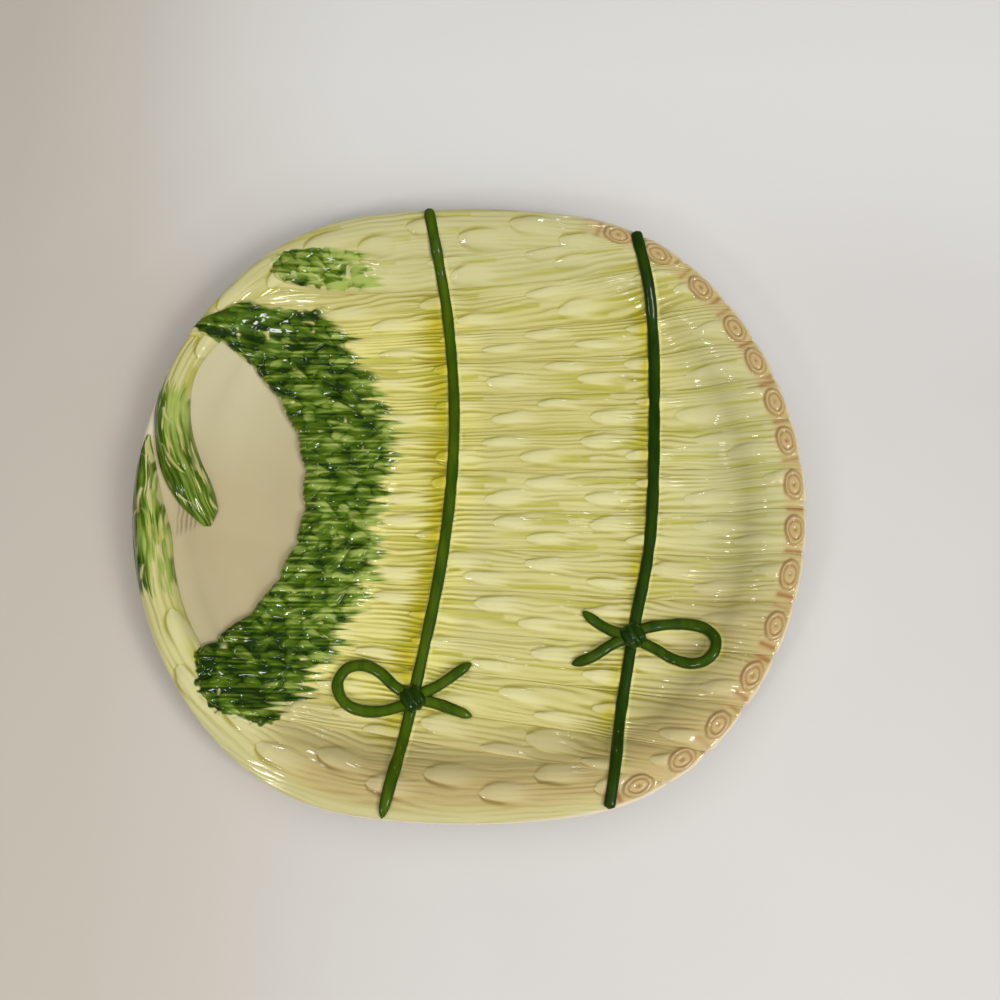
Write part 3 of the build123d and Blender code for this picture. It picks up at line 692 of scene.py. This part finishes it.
def string_paint(x, y):
    """Olive pooled beside the strings and bows, and the pale line along them."""
    olive, line = np.zeros((2, *x.shape))
    spots = 0.55 + 0.45 * smooth(-0.6, 0.2, noise(y / 13, x / 50, OLIVE_SEED + 6))
    for number, (route, reach, strength) in enumerate(zip(TIE_ROUTES, OLIVE_REACHES, (1, spots))):
        offset = tie_offset(route, x, y)
        clear = np.abs(offset) - TIE_HALF
        seed = OLIVE_SEED + number
        span = reach * (1 + 0.45 * noise(y / 1.4, x / 30, seed) + 0.35 * noise(y / 9, x / 60, seed + 2))
        near = np.where(offset < 0, 1 - smooth(0.15, 1, clear / np.maximum(span, 3)), 0)
        olive = np.maximum(olive, zone(x, y - OLIVE_MIDDLE, aside=(106, 78)) * strength * near)
        edge = np.where(offset > 0, 1, 0.35) * zone(x, y, aside=(106, 98))
        line = np.maximum(line, edge * bell(clear, 0.4, 0.6))
    clear = strand_gap(x, y, POOL_ROUTES) - CORD_HALF
    line = np.maximum(line, 0.6 * bell(clear, 0.35, 0.5))
    olive = np.maximum(olive, 0.6 * (1 - smooth(0.6, 4.5, clear)))
    return np.clip(olive, 0, 1), line


def stalk_bracts(index, half):
    """Scale leaves of a straight spear: x of the crisp end, offset across, half width."""
    draw = np.random.default_rng(BRACT_SEED + index)
    places = []
    for side, shift in ((-1, 0), (1, BRACT_SHIFT)):
        for step in BRACT_STEPS:
            place = BRACT_STARTS[index] + shift + step * BRACT_PITCH + draw.uniform(-1, 1) * BRACT_STRAY
            width = BRACT_HALF * draw.uniform(*BRACT_RANGE)
            places.append((place, side * BRACT_ACROSS * half, width))
    return places


def curl_bracts(length):
    """Scale leaves of a curled spear: distance from its tip, offset across, half width."""
    head_gap, end_gap = CURL_BRACT_GAPS
    starts = np.arange(LOWER_GREEN_LENGTH + head_gap, length - end_gap, BRACT_PITCH / 2)
    offset = BRACT_ACROSS * CURL_BRACT_WIDTH
    return [(start, (-1) ** place * offset, CURL_BRACT_HALF) for place, start in enumerate(starts)]


def paint_layers(x, y, groove, green, tone, cut, leaf, stroke):
    """The named layers that the stalk glaze is painted from."""
    wash, ring, spot = cut
    olive, line = string_paint(x, y)
    pale = np.maximum(np.clip(tie_offset(TIE_ROUTES[1], x, y) / PALE_RUN, 0, 1), zone(x, y, up=(78, 106)))
    pale = np.maximum(pale, 0.5 * zone(x, y, inset=(24, 8), right=(-40, -90)))
    pale = np.maximum(pale, zone(x, y, inset=(10, 3), up=(-60, -95)))
    # Painted shade with a beige tint: darker on the lower rim and at the lower right, where the rim faces
    # away from the light
    low = zone(x, y, up=(-40, -95), inset=(44, 14), right=(-95, -45))
    low = low * (0.2 + 0.8 * zone(x, y, inset=(2.5, 9)))
    low = np.maximum(low, 0.7 * zone(x, y, up=(-5, -60), right=(58, 100)))
    return {
        "groove": np.clip(groove * (1 + 0.9 * olive), 0, 1),
        "green": np.clip(green, 0, 1),
        "tone": np.clip(tone, 0, 1),
        "olive": olive,
        "wash": wash,
        "ring": ring,
        "spot": spot,
        "line": line * (1 - green),
        "leaf": leaf,
        "stroke": stroke * (1 - 0.3 * pale) * (1 - low) * (1 - zone(x, y, up=(-70, -100))),
        "low": low,
        "pale": pale,
        "warm": smooth(*WARM_RUN, tie_offset(TIE_ROUTES[0], x, y)) * zone(x, y, inset=(34, 50)),
        "brim": zone(x, y, inset=(2.2, 0.8), right=(10, 60)),
        "upper": zone(x, y, up=(-10, 60)) * zone(x, y, up=(100, 80)),
    }


def spear_height(v, edge, crown, relief, wash, rise):
    """Height of a spear on the plate, with its relief and its cut end on levelled ground."""
    body = edge + (crown - edge) * (1 - np.abs(v) ** CROWN_CURVE) + relief
    return body * (1 - CUT_COVER * wash) + CUT_LEVEL * CUT_COVER * wash + rise


def straight_borders():
    """Lines between the spears: directions and right ends on the rim, and left ends."""
    middles = [(first + second) / 2 for first, second in zip(CUT_ENDS, CUT_ENDS[1:])]
    rights = [rim_point(middle, END_INSET) for middle in middles]
    notches = [((ax + bx) / 2 + HEAD_NOTCH, (ay + by) / 2) for (ax, ay), (bx, by) in zip(TIPS[1:], TIPS[2:])]
    lefts = [rim_point(*UPPER_BORDER_END), SECOND_HEAD_CORNER, *notches, rim_point(*LOWER_BORDER_END)]
    return middles, np.array(rights), np.array(lefts)


def straight_grid(index, borders):
    """Plan points of a straight spear, place across, distance from the tip, half widths."""
    middles, rights, lefts = borders
    v = np.linspace(-1, 1, int(np.linalg.norm(rights[index + 1] - rights[index]) / STEP_ACROSS))
    share = (v + 1) / 2
    directions = middles[index] + (middles[index + 1] - middles[index]) * share
    right_x, right_y = rim_point(directions, END_INSET + NOTCH_DEPTH * np.abs(v) ** VALLEY_CURVE)
    left = lefts[index] + (lefts[index + 1] - lefts[index]) * share[:, None]
    bulge = np.array(TIPS[index]) - (lefts[index] + lefts[index + 1]) / 2
    left_x, left_y = (left + bulge * (1 - np.abs(v) ** TIP_CURVE)[:, None]).T
    length = np.hypot(right_x - left_x, right_y - left_y).max()
    u = np.linspace(0, 1, int(length / STEP_ALONG))[:, None]
    x = right_x + (left_x - right_x) * u
    y = right_y + (left_y - right_y) * u
    along = np.hypot(x - left_x, y - left_y)
    half = np.hypot(x[:, 0] - x[:, -1], y[:, 0] - y[:, -1])[:, None] / 2
    return x, y, v, along, half


def make_straight_spear(index, borders, material):
    """One straight spear as a relief from the lip to its head."""
    number = index + 2
    seed = SPEAR_SEEDS * number
    x, y, v, along, half = straight_grid(index, borders)
    across = v * half
    green, tone, head, scales = carpet_field(x, y)
    green = green * smooth(-0.5, 0.9, along + noise(y / 0.9, x / 3, HEAD_SEED + 9))
    bracts = bract_field(x, across, stalk_bracts(index, half.mean()))
    leaf, dome, shade = (field * (1 - head) for field in bracts)
    shade = shade * (1 - 0.6 * zone(x, y, right=(78, 92)))
    fibres = fibre_field(x, across, seed) * (1 - 0.85 * leaf) * (1 - 0.8 * head) * fibre_strength(x, y)
    stroke = np.maximum(stroke_field(x, across, seed + 15), rim_stroke_field(x, y)) * (1 - leaf)
    rise, cut = cut_end_field(CUT_ENDS[index + 1], x, y)
    crown = STALK_CROWN + (HEAD_CROWN - STALK_CROWN) * head
    edge = STALK_EDGE + (HEAD_EDGE - STALK_EDGE) * head
    relief = BRACT_RISE * dome - FIBRE_DEPTH * fibres - BRACT_DENT * shade
    relief = relief + SCALE_RISE * (scales - 0.5 * head)
    body = spear_height(v, edge, crown, relief, cut[0], rise) * (0.12 + 0.88 * round_off(along, TIP_ROUND))
    z = plate_height(x, y) + body * (0.1 + 0.9 * round_off(inset_at(x, y), LIP_ROUND))
    # Groove layer: fibres, the valleys between spears, and the painted shade round the scale leaves
    groove = fibres + 0.25 * np.abs(v) ** VALLEY_CURVE + 0.6 * shade
    layers = paint_layers(x, y, groove, green, tone, cut, leaf, stroke)
    relief_piece(f"spear_{number:02d}", x, y, z, layers, material)


def curl_grid(stations):
    """Plan points of a curled spear, place across, distance from the tip, half widths, crowns."""
    table = np.array(stations)
    fine = np.linspace(0, len(table) - 1, CURL_SAMPLES)
    draft = [smooth_track(column, fine) for column in table.T]
    middle_x, middle_y = rim_point(draft[0], (draft[1] + draft[2]) / 2)
    travelled = np.concatenate([[0], np.cumsum(np.hypot(np.diff(middle_x), np.diff(middle_y)))])
    length = travelled[-1]
    even = np.linspace(0, length, int(length / STEP_ALONG))
    direction, outer, inner, crown = (np.interp(even, travelled, column)[:, None] for column in draft)
    v = np.linspace(-1, 1, int((inner - outer).max() / STEP_ACROSS))
    inset = outer + (inner - outer) * (v + 1) / 2
    x, y = rim_point(direction + 0 * inset, inset)
    along = (length - even)[:, None] + 0 * inset
    return x, y, v, along, (inner - outer) / 2, crown


def make_curled_spear(number, stations, cut_end, green_length, wear, material):
    """A spear that follows the rim and ends in a head at the left."""
    seed = SPEAR_SEEDS * number
    x, y, v, along, half, crown = curl_grid(stations)
    across = v * half
    head = 1 - smooth(0.7 * green_length, green_length, along)
    leaf, dome, shade = bract_field(along, across, curl_bracts(along.max()))
    fibres = fibre_field(along, across, seed) * (1 - 0.85 * leaf) * (1 - 0.6 * head) * fibre_strength(x, y)
    plume_dome, plume_edge = bract_field(along, across, CURL_SCALES)[1:]
    ridges = 0.25 * noise(along / 9, across / 1.1, seed + 9) * head
    green, tone = curl_brush_field(along, across, v, green_length, wear, seed + 12)
    broken = smooth(-0.1, 0.3, noise(along / 5, across / 2.5, seed + 8))
    green = green * (1 - 0.95 * plume_edge * broken * smooth(-1, -0.7, v))
    beside, beside_tone, scaly, scales = carpet_field(x, y)
    tone = np.where(beside > green, beside_tone, tone)
    green = np.maximum(green, beside)
    stroke = stroke_field(along, across, seed + 15) * (1 - leaf)
    rise, cut = cut_end_field(cut_end, x, y)
    relief = BRACT_RISE * dome - FIBRE_DEPTH * fibres - BRACT_DENT * shade
    relief = relief + (0.8 * plume_dome + ridges) * head + SCALE_RISE * (scales - 0.5 * scaly)
    body = spear_height(v, CURL_EDGE, crown, relief, cut[0], rise)
    rounding = round_off(along, TIP_ROUND) * round_off(inset_at(x, y), CURL_LIP_ROUND)
    rounding = rounding * round_off((1 - v) * half, CURL_INNER_ROUND)
    z = plate_height(x, y) + body * (0.1 + 0.9 * rounding)
    # Groove layer: fibres and the painted shade round the scale leaves
    layers = paint_layers(x, y, fibres + 1.2 * shade, green, tone, cut, leaf, stroke)
    relief_piece(f"spear_{number:02d}", x, y, z, layers, material)


def lip_notches(turns):
    """Depth of the notches between the cut ends, by direction of the rim's normal."""
    notch = np.zeros_like(turns)
    for first, second in zip(CUT_ENDS, CUT_ENDS[1:]):
        gap = np.abs((turns - (first + second) / 2 + 180) % 360 - 180)
        notch = np.maximum(notch, NOTCH_DEPTH * (1 - smooth(0, NOTCH_SHARE * abs(first - second), gap)))
    return notch


def make_plate(material):
    """The dished plate, its lip scalloped at the right and the well sunk into its floor."""
    turns = np.linspace(0, 360, PLATE_COLUMNS, endpoint=False)
    notch = lip_notches(turns)
    insets = np.linspace(WALL / 2, PLATE_MIDDLE, PLATE_ROWS)
    slopes = np.gradient(rise_at(insets), insets)
    rings = []
    for inset in reversed(insets):
        x, y = rim_point(turns, inset + notch * (1 - smooth(0, NOTCH_RUN, inset)))
        rings.append((x, y, rise_at(inset) - well_drop(x, y)))
    for turn in np.radians(np.linspace(LIP_TURN, -LIP_TURN, LIP_ROWS)):
        x, y = rim_point(turns, WALL / 2 * (1 - np.cos(turn)) + notch)
        rings.append((x, y, LIP_Z - WALL / 2 * (1 - np.sin(turn)) + 0 * x))
    for inset, slope in zip(insets[::UNDER_STEP], slopes[::UNDER_STEP]):
        x, y = rim_point(turns, inset + notch * (1 - smooth(0, NOTCH_RUN, inset)))
        rings.append((x, y, rise_at(inset) - WALL * np.sqrt(1 + slope**2) + 0 * x))
    points = np.stack(rings).transpose(0, 2, 1).reshape(-1, 3)
    points[:, 2] = np.maximum(points[:, 2], UNDER_Z)
    x, y = points[:, 0], points[:, 1]
    above = y - HATCH_CORNER[1] - HATCH_SLOPE * (x - HATCH_CORNER[0])
    hatch = zone(x, y, right=(-116.5, -113.5), up=(2, -1)) * zone(x, y, right=(-99, -103))
    layers = {
        "hatch": hatch * smooth(*HATCH_FADE, above),
        # Painted light: the glaze lighter towards positive y, as at the top of the well
        "light": zone(x, y, up=(-10, 60)),
        "brim": zone(x, y, inset=(5, 2)),
    }
    faces = tube_faces(len(rings), PLATE_COLUMNS)
    add_piece("plate_body_glazed", points, faces, material, ["plate_body"], layers)


def unit(vectors):
    """Vectors at length 1."""
    return vectors / np.linalg.norm(vectors, axis=1)[:, None]


def make_strand(name, route, lift, half, material, deep, taper):
    """A flattened strand along a plan route, rounded off over a taper at both ends."""
    middle = np.column_stack([route, plate_height(*route.T) + lift])
    gone = np.concatenate([[0], np.cumsum(np.hypot(*np.diff(route, axis=0).T))])
    ends = [round_off(run, reach, STRAND_END_CURVE) for run, reach in zip((gone, gone[-1] - gone), taper)]
    wobble = 1 + waves(STRAND_WOBBLE, gone, 0 * gone, len(name) * 7 + len(route))
    ahead = unit(np.gradient(middle, axis=0))
    side = unit(np.column_stack([-ahead[:, 1], ahead[:, 0], 0 * gone]))
    up = np.cross(ahead, side)
    angles = np.linspace(0, 2 * np.pi, STRAND_SIDES, endpoint=False)
    across = swollen(np.cos(angles), STRAND_CURVE)
    rise = STRAND_FLAT * swollen(np.sin(angles), STRAND_CURVE)
    size = (half * np.maximum(ends[0] * ends[1], STRAND_LEAST) * wobble)[:, None, None]
    points = middle[:, None] + size * (across[:, None] * side[:, None] + rise[:, None] * up[:, None])
    rows = len(route)
    layers = {"edge": np.tile(np.abs(across) ** 3, rows), "deep": np.full(rows * STRAND_SIDES, deep)}
    faces = tube_faces(rows, STRAND_SIDES)
    add_piece(f"{name}_glazed", points.reshape(-1, 3), faces, material, [name], layers)


def make_bow(side, routes, material, deep):
    """Loop and two tails of one bow."""
    tapers = (BOW_TAPER, TAIL_TAPER, TAIL_TAPER)
    for label, route, taper in zip(("loop", "tail_upper", "tail_lower"), routes, tapers):
        make_strand(f"bow_{side}_{label}", route, BOW_LIFT, CORD_HALF, material, deep, (BOW_TAPER, taper))


def make_knot(side, knot, material):
    """The knot: a rounded lump wrapped round by turns of string."""
    rows, columns = KNOT_GRID
    tilt = np.linspace(-np.pi / 2, np.pi / 2, rows)[:, None]
    turn = np.linspace(0, 2 * np.pi, columns, endpoint=False)[None, :]
    level = swollen(np.cos(tilt), KNOT_CURVE)
    x, y = level * swollen(np.cos(turn), KNOT_CURVE), level * swollen(np.sin(turn), KNOT_CURVE)
    z = swollen(np.sin(tilt), KNOT_CURVE) + 0 * turn
    wrap = np.cos(np.pi * KNOT_WRAPS * y)
    swell = 1 + KNOT_SWELL[0] * wrap
    along, across = KNOT_HALF[0] * x * swell, KNOT_HALF[1] * y * (1 + KNOT_SWELL[1] * wrap)
    px = knot[0] + along * np.cos(KNOT_ANGLE) - across * np.sin(KNOT_ANGLE)
    py = knot[1] + along * np.sin(KNOT_ANGLE) + across * np.cos(KNOT_ANGLE)
    pz = plate_height(*knot) + BOW_LIFT + KNOT_LIFT + KNOT_HALF[2] * z * swell
    points = np.stack([px, py, pz], -1).reshape(-1, 3)
    node = f"bow_{side}_knot"
    layers = {"edge": np.clip(0.6 - 0.5 * wrap, 0, 1), "deep": np.ones(rows * columns)}
    add_piece(f"{node}_glazed", points, tube_faces(rows, columns), material, [node], layers)


class Painter:
    """Builds one node material step by step, on a Principled shader."""

    def __init__(self, name):
        self.material = bpy.data.materials.new(name)
        self.material.use_nodes = True
        self.tree = self.material.node_tree
        self.shader = self.tree.nodes["Principled BSDF"]

    def feed(self, node, inputs):
        """Links outputs to a node's inputs, or sets the inputs' own values."""
        for key, value in inputs.items():
            if isinstance(value, bpy.types.NodeSocket):
                self.tree.links.new(value, node.inputs[key])
            else:
                node.inputs[key].default_value = value

    def add(self, kind, **settings):
        """A new shader node with these settings."""
        node = self.tree.nodes.new(f"ShaderNode{kind}")
        for key, value in settings.items():
            setattr(node, key, value)
        return node

    def layer(self, label):
        """A painting layer of the mesh."""
        return self.add("Attribute", attribute_name=label).outputs["Fac"]

    def noise(self, scale, detail=3, stretch=(1, 1, 1)):
        """Noise in the object's own space, in cells per metre."""
        place, mapping, grain = self.add("TexCoord"), self.add("Mapping"), self.add("TexNoise")
        self.feed(mapping, {"Vector": place.outputs["Object"], "Scale": stretch})
        self.feed(grain, {"Vector": mapping.outputs["Vector"], "Scale": scale, "Detail": detail})
        return grain.outputs["Fac"]

    def ramp(self, factor, *stops):
        """Colours over a factor's range, by stops with a place and display values."""
        blend = self.add("ValToRGB")
        points = blend.color_ramp.elements
        while len(points) < len(stops):
            points.new(1)
        for point, (place, colour) in zip(points, stops):
            point.position = place
            point.color = linear(*colour)
        self.feed(blend, {"Fac": factor})
        return blend.outputs["Color"]

    def mix(self, factor, under, over):
        """Lays one colour over another."""
        node = self.add("Mix", data_type="RGBA")
        self.feed(node, {0: factor, 6: under, 7: over})
        return node.outputs[2]

    def times(self, factor, amount):
        """A factor made weaker or stronger, kept between 0 and 1."""
        node = self.add("Math", operation="MULTIPLY", use_clamp=True)
        self.feed(node, {0: factor, 1: amount})
        return node.outputs[0]

    def lay(self, under, *coats):
        """Lays display colours over another, each by a share of a painting layer."""
        for label, share, colour in coats:
            under = self.mix(self.times(self.layer(label), share), under, linear(*colour))
        return under

    def bump(self, scale, strength, detail=2):
        """Fine unevenness of the glaze, in cells per metre."""
        node = self.add("Bump")
        self.feed(node, {"Strength": strength, "Distance": GLAZE_BUMP, "Height": self.noise(scale, detail)})
        self.feed(self.shader, {"Normal": node.outputs["Normal"]})

    def finish(self, colour, roughness, coat=1):
        """The material with its colour and shine set."""
        shine = {"Specular IOR Level": GLAZE_SPECULAR, "Coat Weight": coat, "Coat Roughness": COAT_ROUGHNESS}
        self.feed(self.shader, {"Base Color": colour, "Roughness": roughness, **shine})
        return self.material


def stalk_material():
    """Cream stalks with yellow-green in the grooves, green heads and tan cut ends."""
    paint = Painter("stalk_glaze")
    cloud = paint.noise(40, 3, (0.35, 1, 1))
    # The low layer lays painted shade with a beige tint on the lower rim and the lower right, and browns the
    # grooves there
    cream = paint.lay(
        paint.ramp(cloud, (0.35, (219, 212, 150)), (0.68, (210, 202, 131))),
        ("upper", 0.3, (200, 191, 100)),
        ("warm", 0.8, (235, 226, 136)),
        ("leaf", 0.7, (226, 219, 164)),
        ("pale", 0.85, (202, 197, 143)),
        ("low", 0.9, (190, 170, 112)),
    )
    low_leaf = paint.times(paint.layer("leaf"), paint.layer("low"))
    cream = paint.mix(paint.times(low_leaf, 0.5), cream, linear(214, 202, 152))
    olive = paint.layer("olive")
    cream = paint.mix(paint.times(olive, paint.times(olive, olive)), cream, linear(204, 192, 52))
    pooled = paint.ramp(paint.noise(70), (0.3, (168, 159, 60)), (0.7, (158, 148, 60)))
    pooled = paint.lay(pooled, ("low", 0.9, (136, 110, 58)), ("olive", 1.6, (142, 132, 0)))
    colour = paint.lay(
        paint.mix(paint.times(paint.layer("groove"), 0.85), cream, pooled),
        ("stroke", 0.7, (178, 174, 56)),
        ("line", 1, (228, 222, 136)),
        ("wash", 0.85, (196, 168, 116)),
        ("ring", 0.85, (146, 108, 52)),
        ("brim", 0.85, (236, 222, 198)),
        ("spot", 0.8, (150, 98, 42)),
    )
    green = paint.ramp(paint.layer("tone"), (0.05, (26, 50, 1)), (0.5, (80, 108, 12)), (1, (166, 182, 90)))
    paint.bump(500, 0.1)
    return paint.finish(paint.mix(paint.layer("green"), colour, green), 0.4)


def plate_material():
    """Smooth cream glaze with painted light towards positive y, at the top of the well, and faint brown
    brush lines beside the upper curled head.
    """
    paint = Painter("cream_glaze")
    colour = paint.ramp(paint.noise(24), (0.3, (196, 184, 145)), (0.7, (188, 173, 134)))
    # Painted light towards positive y, and a paler lip
    colour = paint.lay(colour, ("light", 0.6, (206, 200, 164)), ("brim", 0.85, (232, 220, 196)))
    place, bands = paint.add("TexCoord"), paint.add("TexWave")
    scale = 2 * np.pi / WAVE_UNIT / (HATCH_PITCH * MM)
    paint.feed(bands, {"Vector": place.outputs["Object"], "Scale": scale, "Distortion": HATCH_WAVE})
    lines = paint.times(paint.layer("hatch"), bands.outputs["Fac"])
    colour = paint.mix(paint.times(lines, 0.6), colour, linear(118, 104, 70))
    paint.bump(400, 0.08)
    return paint.finish(colour, 0.4)


def string_material():
    """Dark green glaze, deepest at the edges of a strand and darker on the right string."""
    paint = Painter("green_glaze")
    streak = paint.noise(260, 3, (1, 0.3, 1))
    green = paint.ramp(streak, (0.3, (46, 72, 0)), (0.72, (72, 95, 2)))
    deep = paint.ramp(streak, (0.3, (20, 46, 1)), (0.72, (40, 66, 3)))
    colour = paint.lay(paint.mix(paint.layer("deep"), green, deep), ("edge", 0.7, (18, 42, 1)))
    paint.bump(600, 0.12)
    return paint.finish(colour, 0.4, 0.3)


def foot_material():
    """Glazed foot, bare and slightly rough where it stands."""
    paint = Painter("foot_glaze")
    colour = paint.ramp(paint.noise(60), (0.3, (204, 194, 160)), (0.7, (190, 178, 140)))
    paint.bump(1500, 0.2, 3)
    return paint.finish(colour, 0.45, 0.1)


def make_floor():
    """A plain pale ground under the plate, with painted shade at the left, darker and warmer, and painted
    light behind.
    """
    paint = Painter("pale_cloth")
    colour = paint.ramp(paint.noise(6, 2), (0.3, (212, 210, 206)), (0.7, (208, 205, 201)))
    # Painted shade at the left, darker and warmer, and painted light behind the plate
    colour = paint.lay(colour, ("left", 1, (199, 191, 178)), ("behind", 1, (230, 228, 224)))
    mesh = bpy.data.meshes.new("floor")
    ticks = np.array([-FLOOR_REACH, *FLOOR_LINES, FLOOR_REACH])
    x, y = np.meshgrid(ticks, ticks)
    points = np.stack([x, y, 0 * x], -1).reshape(-1, 3) * MM
    mesh.from_pydata(points.tolist(), [], quads(point_numbers(len(ticks), len(ticks))))
    # Shares of the painted light behind the plate and of the painted shade at the left
    behind = zone(x, y, up=(50, 200), right=(-200, -50))
    add_layers(mesh, {"left": zone(x, y, right=(0, -150)), "behind": behind})
    mesh.materials.append(paint.finish(colour, 0.8, 0))
    floor = bpy.data.objects.new("floor", mesh)
    bpy.context.scene.collection.objects.link(floor)


def make_lights():
    """Soft daylight from the right with weak fill, by lamps that face the plate."""
    world = bpy.data.worlds.new("daylight")
    world.use_nodes = True
    background = world.node_tree.nodes["Background"]
    background.inputs["Color"].default_value = WORLD_COLOUR
    background.inputs["Strength"].default_value = WORLD_STRENGTH
    bpy.context.scene.world = world
    for name, (place, size, power, mirrored) in LAMPS.items():
        lamp = bpy.data.lights.new(name, "AREA")
        lamp.shape = "RECTANGLE"
        lamp.size, lamp.size_y = size
        lamp.energy = power
        light = bpy.data.objects.new(name, lamp)
        light.location = place
        light.rotation_euler = (-Vector(place)).to_track_quat("-Z", "Y").to_euler()
        light.visible_glossy = mirrored
        bpy.context.scene.collection.objects.link(light)


def make_camera():
    """The photograph's viewing angle: nearly from above, leaning to the near side."""
    camera = bpy.data.cameras.new("camera")
    camera.lens = CAMERA_LENS
    camera.sensor_width = CAMERA_SENSOR
    holder = bpy.data.objects.new("camera", camera)
    back = Vector((0, -np.sin(CAMERA_TILT), np.cos(CAMERA_TILT)))
    holder.location = Vector(CAMERA_TARGET) + CAMERA_DISTANCE * back
    holder.rotation_euler = (CAMERA_TILT, 0, 0)
    bpy.context.scene.collection.objects.link(holder)
    bpy.context.scene.camera = holder


bpy.context.scene.view_settings.view_transform = "Standard"
make_camera()
make_floor()
make_lights()
stalk = stalk_material()
make_plate(plate_material())
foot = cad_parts["foot_ring"]
foot.data.materials.clear()
foot.data.materials.append(foot_material())
borders = straight_borders()
make_curled_spear(1, UPPER_CURL, CUT_ENDS[0], UPPER_GREEN_LENGTH, UPPER_WEAR, stalk)
for spear in range(len(TIPS)):
    make_straight_spear(spear, borders, stalk)
make_curled_spear(len(CUT_ENDS), LOWER_CURL, CUT_ENDS[-1], LOWER_GREEN_LENGTH, LOWER_WEAR, stalk)
strings = string_material()
for side, route, knot, bow, deep in (
    ("left", TIE_ROUTES[0], LEFT_KNOT, LEFT_BOW, 0),
    ("right", TIE_ROUTES[1], RIGHT_KNOT, RIGHT_BOW, 1),
):
    make_strand(f"tie_{side}", route, TIE_LIFT, TIE_HALF, strings, deep, TIE_TAPERS[side])
    make_bow(side, bow, strings, deep / 2)
    make_knot(side, knot, strings)
